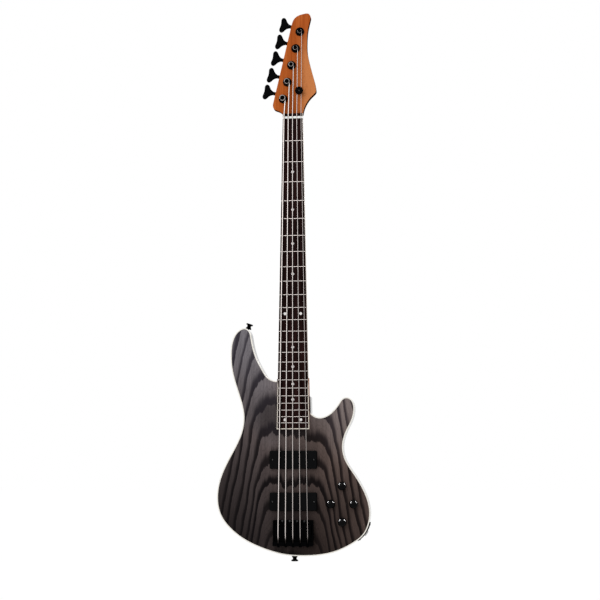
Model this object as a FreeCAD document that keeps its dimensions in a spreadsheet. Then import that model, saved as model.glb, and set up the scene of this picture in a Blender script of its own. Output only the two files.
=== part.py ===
import FreeCAD, Part
import math
import os
from types import SimpleNamespace

# Five-string electric bass guitar. X runs to the treble side, Z up the neck and -Y is the front.
# The origin lies on the centre line at the front edge of the nut, in the plane where the
# fretboard is glued to the neck. Names that end in angle, count or share are not lengths.

SIZES = {
    # Scale, fretboard and frets
    "scale_length": 889.0,
    "fret_count": 24,
    "nut_width": 44.0,
    "nut_thickness": 4.5,
    "nut_seat": 2.0,
    "nut_lip": 0.9,
    "nut_break_share": 1.6,
    "board_tail": 7.3,
    "board_overhang": 13.5,
    "board_end_width": 70.0,
    "board_thickness": 6.0,
    "board_radius": 406.0,
    "board_binding": 1.7,
    "fret_height": 1.1,
    "fret_width": 2.6,
    "fret_inset": 0.4,
    "dot_radius": 3.1,
    "dot_depth": 1.6,
    "dot_spread": 34.0,
    # Neck and truss rod
    "neck_shoulder": 3.0,
    "neck_nut_depth": 14.5,
    "neck_heel_depth": 17.0,
    "volute_length": 42.0,
    "heel_length": 110.0,
    "rod_width": 6.0,
    "rod_depth": 10.0,
    "rod_end_gap": 40.25,
    "rod_block": 14.0,
    "rod_radius": 2.1,
    # Headstock
    "head_width": 96.0,
    "head_length": 240.0,
    "head_drop": 3.2,
    "head_thickness": 14.3,
    # Strings, thinnest first
    "string_1_gauge": 1.14,
    "string_2_gauge": 1.65,
    "string_3_gauge": 2.16,
    "string_4_gauge": 2.67,
    "string_5_gauge": 3.30,
    "nut_pitch": 9.35,
    "bridge_pitch": 15.72,
    "nut_string_height": 1.5,
    "saddle_string_height": 3.6,
    "string_bend": 24.0,
    "ball_radius": 2.9,
    "ball_length": 4.5,
    "winding_gap": 0.35,
    "winding_spread_share": 0.3,
    "winding_lift_share": 0.6,
    "winding_clearance": 0.3,
    "thin_turn_count": 2,
    "thick_turn_count": 1.5,
    # Tuners
    "first_post_x": -22.2,
    "first_post_z": 46.9,
    "post_spacing": 39.1,
    "post_lean_angle": 13.8,
    "post_radius": 3.6,
    "post_rise": 15.0,
    "post_slot_width": 3.6,
    "post_slot_depth": 2.6,
    "post_end_radius": 2.8,
    "bushing_flange_radius": 9.8,
    "bushing_flange": 2.0,
    "bushing_radius": 6.4,
    "bushing_length": 9.0,
    "tuner_plate_width": 21.0,
    "tuner_plate_low": 11.0,
    "tuner_plate_high": 19.0,
    "tuner_plate_thickness": 1.8,
    "ear_thickness": 3.0,
    "ear_width": 9.0,
    "ear_rise": 4.0,
    "gear_module": 0.9,
    "gear_teeth_count": 20,
    "gear_width": 4.0,
    "gear_addendum": 0.8,
    "gear_dedendum": 1.2,
    "gear_tooth": 0.9,
    "gear_screw_radius": 4.2,
    "gear_screw_head": 1.8,
    "flank_angle": 20.0,
    "worm_pitch_radius": 3.5,
    "worm_addendum": 0.7,
    "worm_core_radius": 2.2,
    "worm_thread": 0.85,
    "worm_turn_count": 3,
    "worm_phase_angle": 270.0,
    "worm_end_gap": 0.3,
    "key_shaft_radius": 2.5,
    "key_reach": 47.0,
    "key_length": 24.0,
    "key_span": 34.0,
    "key_thickness": 6.4,
    "key_round": 2.2,
    "key_socket": 9.0,
    "key_collar_radius": 3.9,
    "key_collar": 10.0,
    # String retainer
    "retainer_z": 62.4,
    "retainer_radius": 9.0,
    "retainer_disc": 3.2,
    "retainer_post_radius": 3.4,
    "retainer_rise": 9.2,
    "retainer_clearance": 0.8,
    # Body
    "body_width": 330.0,
    "body_length": 488.0,
    "body_tail": 164.4,
    "tongue_length": 74.4,
    "tongue_rise": 34.5,
    "tongue_corner": 4.9,
    "cutaway_step": 8.0,
    "body_drop": 3.4,
    "body_thickness": 40.0,
    "body_top_thickness": 6.0,
    "body_binding": 2.2,
    "back_round": 6.0,
    "pocket_depth": 16.0,
    # Neck bolts
    "bolt_x": 21.0,
    "bolt_inset": 17.25,
    "bolt_spacing": 42.0,
    "bolt_radius": 2.4,
    "bolt_head_radius": 4.6,
    "bolt_head": 2.8,
    "bolt_grip": 12.0,
    "ferrule_radius": 7.5,
    "ferrule_depth": 4.5,
    "ferrule_floor": 1.2,
    # Pickups
    "pickup_width": 101.6,
    "pickup_length": 38.1,
    "pickup_height": 19.0,
    "pickup_stand": 6.6,
    "pickup_wall": 2.0,
    "pickup_corner": 3.0,
    "pickup_edge": 1.5,
    "neck_pickup_z": 143.6,
    "bridge_pickup_z": 54.7,
    "pickup_cavity_depth": 22.0,
    "pickup_travel": 2.0,
    "pickup_screw_x": 44.7,
    "pickup_boss_radius": 3.2,
    "coil_length": 78.0,
    "coil_width": 13.0,
    "coil_height": 13.0,
    "coil_gap": 3.0,
    # Bridge
    "bridge_width": 86.5,
    "bridge_length": 54.5,
    "bridge_front_z": 16.0,
    "bridge_screw_count": 4,
    "bridge_plate": 2.5,
    "bridge_wall": 2.5,
    "bridge_wall_rise": 7.5,
    "bridge_rear_depth": 9.0,
    "bridge_rear_rise": 11.5,
    "saddle_width": 14.8,
    "saddle_length": 22.0,
    "saddle_lead": 6.0,
    "saddle_foot": 1.4,
    "saddle_lip": 1.0,
    "saddle_travel": 4.0,
    "saddle_stagger": 0.8,
    "saddle_crest": 7.0,
    "saddle_relief": 3.6,
    "height_screw_radius": 1.5,
    "height_screw_x": 5.2,
    "intonation_radius": 1.5,
    "intonation_rise": 3.4,
    "intonation_head_radius": 2.9,
    "intonation_head": 2.6,
    "string_anchor_rise": 8.2,
    "ball_pocket": 6.0,
    # Controls
    "knob_step_x": 24.3,
    "knob_step_z": 38.0,
    "knob_radius": 9.25,
    "knob_height": 15.0,
    "knob_dome": 5.5,
    "knob_gap": 0.8,
    "knob_recess_radius": 7.4,
    "knob_recess": 3.2,
    "knob_bore_depth": 11.0,
    "pot_shaft_radius": 3.0,
    "pot_bushing_radius": 4.6,
    "pot_bushing_rise": 2.2,
    "pot_radius": 9.0,
    "pot_height": 9.0,
    "pot_nut_radius": 6.4,
    "pot_nut": 1.8,
    "control_skin": 2.0,
    "cavity_half_width": 42.0,
    "cavity_half_length": 54.0,
    "cover_ledge": 5.0,
    "cover_thickness": 2.4,
    "preamp_width": 38.0,
    "preamp_length": 36.0,
    "preamp_thickness": 1.6,
    "preamp_rise": 26.0,
    "battery_width": 48.5,
    "battery_length": 26.5,
    "battery_thickness": 17.5,
    "battery_drop": 22.0,
    # Output jack
    "jack_plate_length": 47.0,
    "jack_plate_width": 24.0,
    "jack_plate_thickness": 1.6,
    "jack_bore": 3.2,
    "jack_bush_radius": 4.7,
    "jack_shoulder": 1.2,
    "jack_nut_radius": 6.6,
    "jack_nut": 2.2,
    "jack_body_radius": 9.0,
    "jack_body_length": 22.0,
    "jack_route_radius": 11.0,
    "jack_route_length": 46.0,
    "jack_screw_spread": 38.0,
    # Strap buttons
    "button_head_radius": 7.6,
    "button_head": 3.0,
    "button_waist_radius": 4.0,
    "button_foot_radius": 6.4,
    "button_height": 12.0,
    "button_screw_radius": 2.0,
    "button_screw_length": 24.0,
    "button_screw_head_radius": 3.6,
    "button_screw_head": 1.6,
    "horn_button_angle": 17.0,
    # Small screws
    "screw_radius": 1.3,
    "screw_length": 9.0,
    "screw_head_radius": 2.5,
    "screw_head": 1.4,
    # Fits and cutting
    "glue_fit": 0.15,
    "press_fit": 0.02,
    "running_fit": 0.05,
    "loose_fit": 0.4,
    "cut_over": 2.0,
}

# Outline of the body, from the bass side of the neck round to the treble side. Each pair is a
# share of the body's width from the centre line and a share of its length below the horn tip.
BODY_SHARES = [
    (-0.168, 0.221), (-0.200, 0.190), (-0.238, 0.142),
    (-0.261, 0.098), (-0.277, 0.047), (-0.294, 0.011), (-0.318, 0.000), (-0.3545, 0.006),
    (-0.386, 0.027), (-0.4076, 0.0615), (-0.416, 0.113), (-0.4076, 0.1865), (-0.377, 0.264),
    (-0.3424, 0.338), (-0.329, 0.402), (-0.344, 0.463), (-0.377, 0.516), (-0.473, 0.6455),
    (-0.502, 0.740), (-0.479, 0.824), (-0.424, 0.876), (-0.326, 0.929), (-0.182, 0.973),
    (-0.061, 0.9945), (0.067, 1.0), (0.188, 0.994), (0.303, 0.973), (0.388, 0.943),
    (0.4545, 0.906), (0.488, 0.8586), (0.497, 0.810), (0.480, 0.750), (0.388, 0.635),
    (0.342, 0.584), (0.3236, 0.5266), (0.3545, 0.450), (0.382, 0.413), (0.398, 0.371),
    (0.391, 0.332), (0.362, 0.312), (0.329, 0.3127), (0.2985, 0.335), (0.2606, 0.368),
    (0.218, 0.390), (0.173, 0.398),
]

# Heights on the bass and treble side, as shares of the body's length: where the outline meets
# the tongue under the neck, and the bottom of the cutaway beside it.
ROOT_SHARES = [0.2365, 0.377]
CUTAWAY_SHARES = [0.234, 0.3914]

# Middle of the knobs, seat of the output jack and seat of the horn's strap button, as shares of
# the body's width and length.
CONTROL_SHARES = (0.3176, 0.7744)
JACK_SHARES = (0.4464, 0.8918)
HORN_BUTTON_SHARES = (-0.309, 0.0)

# Places along the bent jack plate, as shares of half its length from the jack.
BEND_SHARES = [-1, -0.5, 0, 0.5, 1]

# Outline of the headstock as shares of its width and length: the bass side up to the straight
# edge, and the tip and treble side from the top of that edge down to the neck.
HEAD_BASS_SHARES = [
    (-0.2265, 0.049), (-0.255, 0.062), (-0.308, 0.0790), (-0.445, 0.106), (-0.467, 0.128),
    (-0.464, 0.155),
]
HEAD_TREBLE_SHARES = [
    (-0.0385, 0.887), (-0.0125, 0.9225), (0.031, 0.955), (0.121, 0.9825), (0.246, 0.997),
    (0.360, 0.997), (0.404, 0.974), (0.397, 0.938), (0.350, 0.859), (0.323, 0.750),
    (0.333, 0.618), (0.376, 0.532), (0.4385, 0.436), (0.498, 0.348), (0.529, 0.276),
    (0.525, 0.2546), (0.500, 0.241), (0.400, 0.2017), (0.3125, 0.153), (0.258, 0.106),
    (0.2265, 0.049),
]

# Half outline of a tuner key's three-lobed wing: a share of its length from the shaft end and a
# share of its span from the middle.
KEY_SHARES = [
    (0.00, 0.085), (0.20, 0.098), (0.38, 0.165), (0.50, 0.285), (0.585, 0.415), (0.70, 0.490),
    (0.86, 0.480), (0.97, 0.385), (0.965, 0.190), (0.935, 0.000),
]

# Frets with one dot in each octave, counted from the octave's start; its last fret has two.
ONE_DOT_COUNTS = [3, 5, 7, 9]
OCTAVE_COUNT = 12
STRINGS = [1, 2, 3, 4, 5]

# Sizes that the sheet works out from others
FORMULAS = {
    "rod_length": "=scale_length * 3 / 4 + board_overhang - rod_end_gap",
}

Vec = FreeCAD.Vector
Turn = FreeCAD.Rotation
Place = FreeCAD.Placement

# Rotations that carry a shape's own upward axis to the front, the back or the key shaft.
FRONTWARD = Turn(Vec(1, 0, 0), 90)
BACKWARD = Turn(Vec(1, 0, 0), -90)
SIDEWARD = Turn(Vec(0, 1, 0), 90)
DOWNWARD = Turn(Vec(1, 0, 0), 180)

doc = FreeCAD.newDocument("bass_guitar")
sheet = doc.addObject("Spreadsheet::Sheet", "size")
for row, (alias, number) in enumerate(list(SIZES.items()) + list(FORMULAS.items()), start=1):
    sheet.set("A%d" % row, alias)
    sheet.set("B%d" % row, str(number))
    sheet.setAlias("B%d" % row, alias)
doc.recompute()
d = SimpleNamespace(**{alias: sheet.get(alias) for alias in list(SIZES) + list(FORMULAS)})

# Values that follow from the sheet
board_end = d.scale_length * 3 / 4 + d.board_overhang
board_start = d.nut_thickness + d.board_tail
body_middle = (board_end + d.scale_length) / 2
body_end = body_middle + d.body_tail
horn_tip = body_end - d.body_length
tongue_wall = d.body_binding + d.loose_fit
body_back = d.body_drop + d.body_thickness
top_back = d.body_drop + d.body_top_thickness
head_back = d.head_drop + d.head_thickness
pocket_floor = d.body_drop + d.pocket_depth
fret_top = -d.board_thickness - d.fret_height
bushing_front = d.head_drop - d.bushing_flange
post_top = d.head_drop - d.post_rise
gear_pitch_radius = d.gear_module * d.gear_teeth_count / 2
gear_distance = gear_pitch_radius + d.worm_pitch_radius
worm_lead = math.pi * d.gear_module
worm_tip_radius = d.worm_pitch_radius + d.worm_addendum
plate_back = head_back + d.tuner_plate_thickness
worm_depth = plate_back + worm_tip_radius + d.loose_fit
bridge_front = -d.scale_length + d.bridge_front_z
bridge_rear = bridge_front - d.bridge_length
bridge_top = d.body_drop - d.bridge_plate
cavity_floor = top_back + d.control_skin
cover_front = body_back - d.cover_thickness
jack_seat = d.jack_plate_thickness + d.glue_fit

NODES = {}


def node(item):
    """Keep an object as one of the pieces that are written."""
    NODES[item.Label] = item
    return item


def add(kind, name, place=Place(), **links):
    """Add an object with its place, and bind its sizes to the sheet or set them from it."""
    item = doc.addObject(kind, name)
    item.Placement = place
    for size_name, size in links.items():
        if isinstance(size, str):
            item.setExpression(size_name, size)
        else:
            setattr(item, size_name, size)
    return item


def at(x, y, z, turn=Turn()):
    return Place(Vec(x, y, z), turn)


def rod(name, place, radius, length):
    return add("Part::Cylinder", name, place, Radius=radius, Height=length)


def block(name, place, length, width, height):
    return add("Part::Box", name, place, Length=length, Width=width, Height=height)


def cut(name, base, tools):
    item = doc.addObject("Part::Cut", name)
    item.Base = base
    item.Tool = tools[0] if len(tools) == 1 else fuse(name + "_tools", tools)
    return item


def fuse(name, pieces):
    item = doc.addObject("Part::MultiFuse", name)
    item.Shapes = pieces
    return item


def common(name, base, tool):
    item = doc.addObject("Part::Common", name)
    item.Base = base
    item.Tool = tool
    return item


def group(name, pieces):
    """Keep several separate solids together in one node."""
    item = doc.addObject("Part::Compound", name)
    item.Links = pieces
    return item


def polygon(points):
    corners = [Vec(x, y, 0) for x, y in points]
    return [Part.LineSegment(a, b) for a, b in zip(corners, corners[1:] + corners[:1])]


def run(points):
    corners = [Vec(x, y, 0) for x, y in points]
    return [Part.LineSegment(a, b) for a, b in zip(corners, corners[1:])]


def spline(points):
    curve = Part.BSplineCurve()
    curve.interpolate([Vec(x, y, 0) for x, y in points])
    return curve


def extrude(name, curves, depth, place):
    """Carry a flat outline along its own normal."""
    sketch = doc.addObject("Sketcher::SketchObject", name + "_outline")
    sketch.addGeometry(curves, False)
    item = add("Part::Extrusion", name, place, LengthFwd=depth)
    item.Base = sketch
    item.DirMode = "Custom"
    item.Dir = Vec(0, 0, 1)
    item.Solid = True
    return item


def plate(name, curves, depth, back):
    """Flat piece with an outline in the front view, from its back face forward by its depth."""
    return extrude(name, curves, depth, at(0, back, 0, FRONTWARD))


def lathe(name, profile, place):
    """Turn a closed profile of radius and height about its own upright axis."""
    sketch = doc.addObject("Sketcher::SketchObject", name + "_profile")
    sketch.Placement = at(0, 0, 0, FRONTWARD)
    sketch.addGeometry(profile, False)
    item = add("Part::Revolution", name, place)
    item.Source = sketch
    item.Axis = Vec(0, 0, 1)
    item.Angle = 360
    item.Solid = True
    return item


def origin_plane(body, role):
    return next(part for part in body.Origin.OriginFeatures if part.Role == role)


def body_sketch(body, name, role, curves):
    sketch = body.newObject("Sketcher::SketchObject", name)
    sketch.AttachmentSupport = [(origin_plane(body, role), "")]
    sketch.MapMode = "FlatFace"
    sketch.addGeometry(curves, False)
    return sketch


def half_width(z):
    """Half the width of neck and fretboard at a height along the centre line."""
    return (d.nut_width - (d.board_end_width - d.nut_width) * z / board_end) / 2


def fret_z(number):
    return -d.scale_length * (1 - 2 ** (-number / OCTAVE_COUNT))


def taper(top, bottom, inset):
    """Corners of the tapered fretboard outline between two heights, drawn in by an inset."""
    return [
        (half_width(top) - inset, top),
        (half_width(bottom) - inset, bottom),
        (inset - half_width(bottom), bottom),
        (inset - half_width(top), top),
    ]


def gauge(string):
    return getattr(d, "string_%d_gauge" % string)


def string_x(string, pitch):
    """Strings are spread evenly about the middle one, the thinnest on the treble side."""
    middle = STRINGS[len(STRINGS) // 2]
    return (middle - string) * pitch


def crown(x):
    """How far the arched fretboard falls away at a distance from the centre line."""
    return x * x / (2 * d.board_radius)


def board_arch(name):
    """Cylinder whose surface is the playing face of the fretboard."""
    length = "size.scale_length + size.board_tail + size.nut_thickness"
    place = at(0, d.board_radius - d.board_thickness, -d.scale_length)
    return rod(name, place, "size.board_radius", length)


def dome(radius, base, height):
    """Arc of a round cap from its rim to its crown, with its centre on the axis."""
    ball = (radius * radius + height * height) / (2 * height)
    centre = base + height - ball
    half_angle = math.asin(radius / ball) / 2
    middle = Vec(ball * math.sin(half_angle), centre + ball * math.cos(half_angle), 0)
    return Part.Arc(Vec(radius, base, 0), middle, Vec(0, base + height, 0))


def screw(name, place, reach):
    """Wood screw along the place's own upward axis, head at the place and shank below it."""
    shank = run([(0, -reach), (d.screw_radius, -reach), (d.screw_radius, 0), (d.screw_head_radius, 0)])
    axis = run([(0, d.screw_head), (0, -reach)])
    return lathe(name, shank + [dome(d.screw_head_radius, 0, d.screw_head)] + axis, place)


def pilot(name, place, reach):
    """Hole for a wood screw whose head seats at the place."""
    end = place.multiply(at(0, 0, -reach - d.press_fit))
    return rod(name, end, "size.screw_radius + size.press_fit", reach + d.cut_over)


# Fretboard, its binding, the frets and the position dots
def make_fretboard():
    dots = []
    holes = []
    for number in range(1, int(d.fret_count) + 1):
        z = (fret_z(number) + fret_z(number - 1)) / 2
        offsets = [0] if number % OCTAVE_COUNT in ONE_DOT_COUNTS else []
        if number % OCTAVE_COUNT == 0:
            offsets = [-d.dot_spread / 2, d.dot_spread / 2]
        for side, x in enumerate(offsets):
            place = at(x, -d.board_thickness + d.dot_depth, z, FRONTWARD)
            tag = "%d_%d" % (number, side)
            dots.append(rod("dot_" + tag, place, "size.dot_radius", "size.dot_depth + size.cut_over"))
            hole_radius = "size.dot_radius + size.press_fit"
            holes.append(rod("dot_hole_" + tag, place, hole_radius, "size.dot_depth + size.cut_over"))
    node(common("fret_dots", group("dot_blanks", dots), board_arch("dot_arch")))

    slot_place = at(-d.nut_width, -d.board_thickness - d.cut_over, 0)
    slot_depth = "size.board_thickness - size.nut_seat + size.cut_over"
    slot = block("nut_slot", slot_place, "2 * size.nut_width", slot_depth, "size.nut_thickness")
    inside = polygon(taper(board_start, -board_end + d.board_binding, d.board_binding))
    inner = plate("board_blank", inside, "size.board_thickness", 0)
    board = common("board_arched", inner, board_arch("board_face"))
    node(cut("fretboard", board, [slot] + holes))

    outer = plate("board_rim", polygon(taper(board_start, -board_end, 0)), "size.board_thickness", 0)
    past = taper(board_start + d.cut_over, -board_end + d.board_binding, d.board_binding)
    core = plate("board_core", polygon(past), "size.board_thickness + size.cut_over", 0)
    edge = common("binding_arched", outer, board_arch("binding_face"))
    node(cut("fretboard_binding", edge, [core, slot]))


def make_frets():
    """Each fret is a slice of a ring about the axis of the fretboard's arch."""
    half = d.fret_width / 2
    wire_radius = (half * half + d.fret_height * d.fret_height) / (2 * d.fret_height)
    rings = []
    for number in range(1, int(d.fret_count) + 1):
        reach = math.degrees(math.asin((half_width(fret_z(number)) - d.fret_inset) / d.board_radius))
        spin = Turn(Vec(0, 0, 1), -90 - reach)
        ring = doc.addObject("Part::Torus", "fret_%d" % number)
        ring.Placement = at(0, d.board_radius - d.board_thickness, fret_z(number), spin)
        ring.Radius1 = d.board_radius + d.fret_height - wire_radius
        ring.Radius2 = wire_radius
        ring.Angle3 = 2 * reach
        rings.append(ring)
    node(cut("frets", group("fret_rings", rings), [board_arch("fret_seat")]))


def string_underside(string, pitch, height):
    """Lowest side of a string over the arched frets."""
    x = string_x(string, pitch)
    return fret_top + d.fret_height + crown(x) - height


def nut_centre(string):
    x = string_x(string, d.nut_pitch)
    y = string_underside(string, d.nut_pitch, d.nut_string_height) - gauge(string) / 2
    return Vec(x, y, 0)


def saddle_z(string):
    return -d.scale_length - d.saddle_stagger * (string - 1)


def saddle_centre(string):
    x = string_x(string, d.bridge_pitch)
    y = string_underside(string, d.bridge_pitch, d.saddle_string_height) - gauge(string) / 2
    return Vec(x, y, saddle_z(string))


def nut_break(string):
    """Point behind the nut where the straight string turns down to the headstock."""
    nut, saddle = nut_centre(string), saddle_centre(string)
    return nut + (nut - saddle) * (d.nut_break_share * d.nut_thickness / -saddle.z)


def make_nut():
    top = -d.board_thickness - d.nut_string_height - d.nut_lip
    blank = plate("nut_blank", polygon(taper(d.nut_thickness, 0, 0)), -d.nut_seat - top, -d.nut_seat)
    arch_place = at(0, d.board_radius + top, -d.nut_thickness)
    arch = rod("nut_arch", arch_place, "size.board_radius", "3 * size.nut_thickness")
    grooves = []
    for string in STRINGS:
        centre = nut_centre(string)
        radius = "size.string_%d_gauge / 2 + size.glue_fit" % string
        place = at(centre.x, centre.y, -d.cut_over)
        length = "size.nut_thickness + 2 * size.cut_over"
        grooves.append(rod("nut_groove_%d" % string, place, radius, length))
    node(cut("nut", common("nut_shaped", blank, arch), grooves))


# Neck with its headstock, and the truss rod in its channel
def neck_section(name, z, depth):
    """D-shaped section of the neck: a flat face, two short sides and a round back."""
    half = half_width(z)
    sides = run([(half, d.neck_shoulder), (half, 0), (-half, 0), (-half, d.neck_shoulder)])
    back = Part.Arc(Vec(-half, d.neck_shoulder, 0), Vec(0, depth, 0), Vec(half, d.neck_shoulder, 0))
    sketch = doc.addObject("Sketcher::SketchObject", name)
    sketch.addGeometry(sides + [back], False)
    sketch.Placement = at(0, 0, z)
    return sketch


def head_outline():
    bass = [(x * d.head_width, z * d.head_length) for x, z in HEAD_BASS_SHARES]
    treble = [(x * d.head_width, z * d.head_length) for x, z in HEAD_TREBLE_SHARES]
    edge = run([bass[-1], treble[0]])
    foot = run([treble[-1], bass[0]])
    return [spline(bass)] + edge + [spline(treble)] + foot


def post_place(string):
    """Frame of a tuner: x along its key shaft, y up the row of posts, z to the back."""
    lean = math.radians(d.post_lean_angle)
    along = Vec(math.sin(lean), 0, math.cos(lean))
    shaft = Vec(-math.cos(lean), 0, math.sin(lean))
    steps = STRINGS[-1] - string
    base = Vec(d.first_post_x, 0, d.first_post_z) + along * (d.post_spacing * steps)
    return Place(base, Turn(shaft, along, Vec(0, 1, 0), "XYZ"))


def tuner_screw_places(string):
    """Heads of the two screws that hold a tuner's plate, on its back face."""
    x = d.tuner_plate_width / 2 - d.screw_head_radius - d.glue_fit
    y = -d.tuner_plate_low + d.screw_head_radius + d.glue_fit
    frame = post_place(string)
    return [frame.multiply(at(side * x, y, plate_back)) for side in (-1, 1)]


def retainer_place():
    x = (string_path_x(1, d.retainer_z) + string_path_x(2, d.retainer_z)) / 2
    return at(x, d.head_drop, d.retainer_z, FRONTWARD)


def bolt_places():
    heads = []
    for x in (-d.bolt_x, d.bolt_x):
        for z in (d.bolt_inset + d.bolt_spacing - board_end, d.bolt_inset - board_end):
            heads.append(at(x, body_back, z, BACKWARD))
    return heads


def make_neck():
    sections = [
        neck_section("section_head", board_start, head_back),
        neck_section("section_nut", board_start - d.volute_length, d.neck_nut_depth),
        neck_section("section_heel", d.heel_length - board_end - d.cut_over, d.neck_heel_depth),
    ]
    shaft = doc.addObject("Part::Loft", "neck_shaft")
    shaft.Sections = sections
    shaft.Solid = True
    shaft.Ruled = True
    head = plate("headstock", head_outline(), "size.head_thickness", head_back)
    heel_outline = polygon(taper(d.heel_length - board_end, -board_end, 0))
    heel = plate("neck_heel", heel_outline, "size.body_drop + size.pocket_depth", pocket_floor)
    blank = fuse("neck_blank", [shaft, head, heel])

    channel_place = at(-d.rod_width / 2 - d.glue_fit, -d.cut_over, -d.rod_length - d.glue_fit)
    tools = [
        block(
            "rod_channel",
            channel_place,
            "size.rod_width + 2 * size.glue_fit",
            "size.rod_depth + size.cut_over",
            "size.rod_length + size.nut_thickness / 2 + 2 * size.glue_fit",
        )
    ]
    for string in STRINGS:
        frame = post_place(string)
        hole = rod(
            "bushing_hole_%d" % string,
            frame.multiply(at(0, 0, -d.cut_over)),
            "size.bushing_radius + size.press_fit",
            "size.head_drop + size.head_thickness + 2 * size.cut_over",
        )
        tools.append(hole)
        for side, place in enumerate(tuner_screw_places(string)):
            tools.append(pilot("tuner_pilot_%d_%d" % (string, side), place, d.screw_length))
    tools.append(pilot("retainer_pilot", retainer_place(), d.screw_length))
    for number, place in enumerate(bolt_places()):
        drill = rod(
            "bolt_drill_%d" % number,
            at(place.Base.x, pocket_floor - d.bolt_grip, place.Base.z, BACKWARD),
            "size.bolt_radius + size.press_fit",
            "size.bolt_grip + size.cut_over",
        )
        tools.append(drill)
    node(cut("neck", blank, tools))


def make_truss_rod():
    """Two-way rod: a plain bar and a threaded bar held in a block at each end."""
    pieces = []
    for name, z in (("rod_foot", -d.rod_length), ("rod_top", d.nut_thickness / 2 - d.rod_block)):
        place = at(-d.rod_width / 2, 0, z)
        depth = "size.rod_depth - size.glue_fit"
        pieces.append(block(name, place, "size.rod_width", depth, "size.rod_block"))
    for name, y in (("rod_bar", d.rod_radius), ("rod_screw", d.rod_depth - d.glue_fit - d.rod_radius)):
        length = "size.rod_length + size.nut_thickness / 2"
        pieces.append(rod(name, at(0, y, -d.rod_length), "size.rod_radius", length))
    node(fuse("truss_rod", pieces))


# Strings: one unbroken tube each, from the ball in the bridge to the turns on the post
def winding_radius(string):
    return d.post_radius + d.winding_clearance + gauge(string) / 2


def winding_pitch(string):
    return gauge(string) * (1 + d.winding_spread_share) + d.winding_gap


def winding_quarters(string):
    """Quarter turns on the post: the thinner strings take more turns than the thick ones."""
    turns = d.thin_turn_count if string in (1, 2, 3) else d.thick_turn_count
    return int(4 * turns)


def leave_point(string):
    """Where the straight string touches its post's winding, and its heading there.

    The tangent from the nut to the winding's circle, on the treble side of the post, at the
    lowest turn.
    """
    centre = post_place(string).Base
    start = nut_break(string)
    dx, dz = centre.x - start.x, centre.z - start.z
    reach = math.hypot(dx, dz)
    radius = winding_radius(string)
    heading = math.atan2(dz, dx) - math.asin(radius / reach)
    length = math.sqrt(reach * reach - radius * radius)
    y = bushing_front - d.loose_fit - gauge(string) * (0.5 + d.winding_lift_share)
    point = Vec(start.x + math.cos(heading) * length, y, start.z + math.sin(heading) * length)
    return point, heading


def string_path_x(string, z):
    """Sideways place of a string at a height on the headstock."""
    start = nut_break(string)
    end, heading = leave_point(string)
    return start.x + (end.x - start.x) * (z - start.z) / (end.z - start.z)


def retained_point(string):
    under = d.head_drop - d.retainer_rise + d.retainer_clearance + gauge(string) / 2
    return Vec(string_path_x(string, d.retainer_z), under, d.retainer_z)


def rounded_run(points, radius):
    """Straight runs through points, each corner rounded by a tangent arc."""
    edges = []
    start = points[0]
    for before, corner, after in zip(points, points[1:], points[2:]):
        back = (before - corner).normalize()
        ahead = (after - corner).normalize()
        half_turn = (math.pi - back.getAngle(ahead)) / 2
        setback = radius * math.tan(half_turn)
        first = corner + back * setback
        last = corner + ahead * setback
        inward = (back + ahead).normalize()
        middle = corner + inward * (radius / math.cos(half_turn) - radius)
        edges.append(Part.LineSegment(start, first).toShape())
        edges.append(Part.Arc(first, middle, last).toShape())
        start = last
    edges.append(Part.LineSegment(start, points[-1]).toShape())
    return edges


def arc_between(start, tangent, end):
    """Arc that leaves one point along a tangent and ends at another."""
    chord = end - start
    half_angle = tangent.getAngle(chord)
    lift = tangent - chord * (tangent.dot(chord) / chord.dot(chord))
    middle = start + chord * 0.5 + lift.normalize() * (chord.Length / 2 * math.tan(half_angle / 2))
    return Part.Arc(start, middle, end).toShape()


def biarc(start, tangent, end, end_tangent):
    """Two arcs that meet smoothly, between two points with their tangents."""
    step = end - start
    both = tangent + end_tangent
    spread = 2 * (1 - tangent.dot(end_tangent))
    reach = (-step.dot(both) + math.sqrt(step.dot(both) ** 2 + spread * step.dot(step))) / spread
    middle = (start + end + (tangent - end_tangent) * reach) * 0.5
    joint = (end - end_tangent * reach) - (start + tangent * reach)
    return [arc_between(start, tangent, middle), arc_between(middle, joint.normalize(), end)]


def winding_edges(string, start, entry, heading):
    """Turns round the post: biarcs of a quarter turn on a helix that rises to the post's slot."""
    centre = post_place(string).Base
    radius = winding_radius(string)
    pitch = winding_pitch(string)
    first_angle = heading - math.pi / 2
    climb = pitch / (2 * math.pi * radius)

    def point(quarters):
        angle = first_angle + quarters * math.pi / 2
        y = start.y - pitch * quarters / 4
        return Vec(centre.x + radius * math.cos(angle), y, centre.z + radius * math.sin(angle))

    def direction(quarters):
        angle = first_angle + quarters * math.pi / 2
        return Vec(-math.sin(angle), -climb, math.cos(angle)).normalize()

    edges = []
    here, facing = start, entry
    for quarter in range(1, winding_quarters(string) + 1):
        there, ahead = point(quarter), direction(quarter)
        edges += biarc(here, facing, there, ahead)
        here, facing = there, ahead
    edges.append(Part.LineSegment(here, here + facing * gauge(string)).toShape())
    return edges


def least_gap(string, edges):
    """Least distance between turns, less the wire's thickness, measured on points."""
    wire_points = []
    travel = 0.0
    for edge in edges:
        count = max(int(edge.Length / (gauge(string) / 2)), 2)
        for step in range(count):
            share = step / count
            first, last = edge.ParameterRange
            wire_points.append((travel + share * edge.Length, edge.valueAt(first + share * (last - first))))
        travel += edge.Length
    apart = math.pi * winding_radius(string)
    gaps = [
        (a - b).Length - gauge(string)
        for place_a, a in wire_points
        for place_b, b in wire_points
        if place_b - place_a > apart
    ]
    return min(gaps)


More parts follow.
